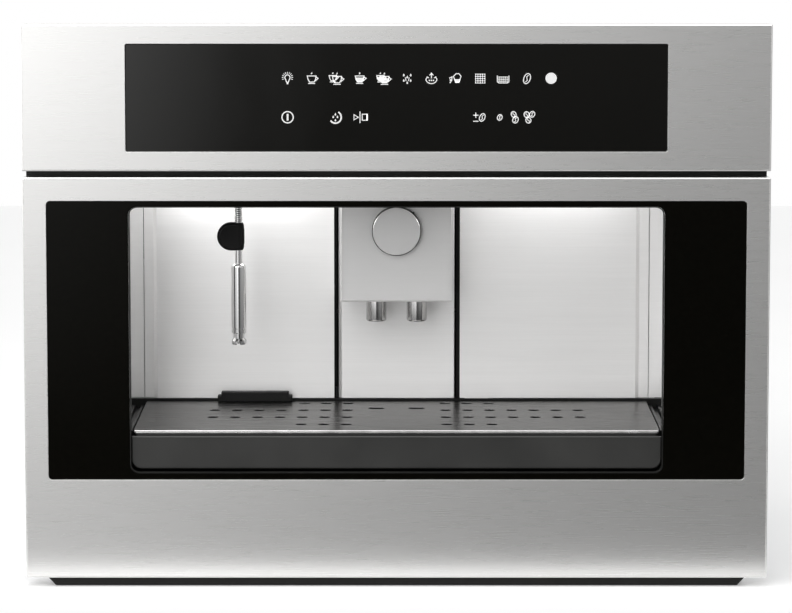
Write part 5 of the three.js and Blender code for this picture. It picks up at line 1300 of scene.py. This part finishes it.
class CoffeeMachineSpout(bpy.types.Operator):
    """Builds the spout body, its knob and the two nozzles"""
    bl_idname = "coffee_machine.spout"
    bl_label = "Spout"

    def execute(self, context):
        add_spout()
        return {"FINISHED"}


class CoffeeMachineWand(bpy.types.Operator):
    """Builds the steam wand's rose, pipe, grip and sleeve"""
    bl_idname = "coffee_machine.wand"
    bl_label = "Steam wand"

    def execute(self, context):
        add_wand()
        return {"FINISHED"}


class CoffeeMachineLids(bpy.types.Operator):
    """Builds the tank and hopper lids and the grind dial"""
    bl_idname = "coffee_machine.lids"
    bl_label = "Lids and grind dial"

    def execute(self, context):
        add_lids()
        return {"FINISHED"}


class CoffeeMachineFixings(bpy.types.Operator):
    """Adds the casing's screws, the inlet's pins and the switch's marks"""
    bl_idname = "coffee_machine.fixings"
    bl_label = "Screws and inlet"

    def execute(self, context):
        add_fixings()
        return {"FINISHED"}


class CoffeeMachineStudio(bpy.types.Operator):
    """Sets the floor, the light and the camera"""
    bl_idname = "coffee_machine.studio"
    bl_label = "Studio"

    def execute(self, context):
        set_studio()
        return {"FINISHED"}


OPERATORS = (
    CoffeeMachineStudio, CoffeeMachineFinishes, CoffeeMachineFront, CoffeeMachineDoor,
    CoffeeMachineTray, CoffeeMachineSpout, CoffeeMachineWand, CoffeeMachineLids,
    CoffeeMachineFixings)


class CoffeeMachinePanel(bpy.types.Panel):
    """The machine's settings and the steps that build it"""
    bl_idname = "VIEW3D_PT_coffee_machine"
    bl_label = "Coffee machine"
    bl_space_type = "VIEW_3D"
    bl_region_type = "UI"
    bl_category = "Coffee machine"

    def draw(self, context):
        for group in (context.scene.coffee_machine_look, context.scene.coffee_machine_studio):
            column = self.layout.column()
            for name in group.__annotations__:
                column.prop(group, name)
        for operator in OPERATORS:
            self.layout.operator(operator.bl_idname)


CLASSES = (CoffeeMachineLook, StudioLook) + OPERATORS + (CoffeeMachinePanel,)


def register():
    for cls in CLASSES:
        bpy.utils.register_class(cls)
    bpy.types.Scene.coffee_machine_look = bpy.props.PointerProperty(type=CoffeeMachineLook)
    bpy.types.Scene.coffee_machine_studio = bpy.props.PointerProperty(type=StudioLook)


def unregister():
    del bpy.types.Scene.coffee_machine_studio
    del bpy.types.Scene.coffee_machine_look
    for cls in reversed(CLASSES):
        bpy.utils.unregister_class(cls)


def main():
    register()
    ops = bpy.ops.coffee_machine
    for step in (ops.studio, ops.finishes, ops.front, ops.door, ops.tray, ops.spout, ops.wand,
                 ops.lids, ops.fixings):
        step()


if __name__ == "__main__":
    main()
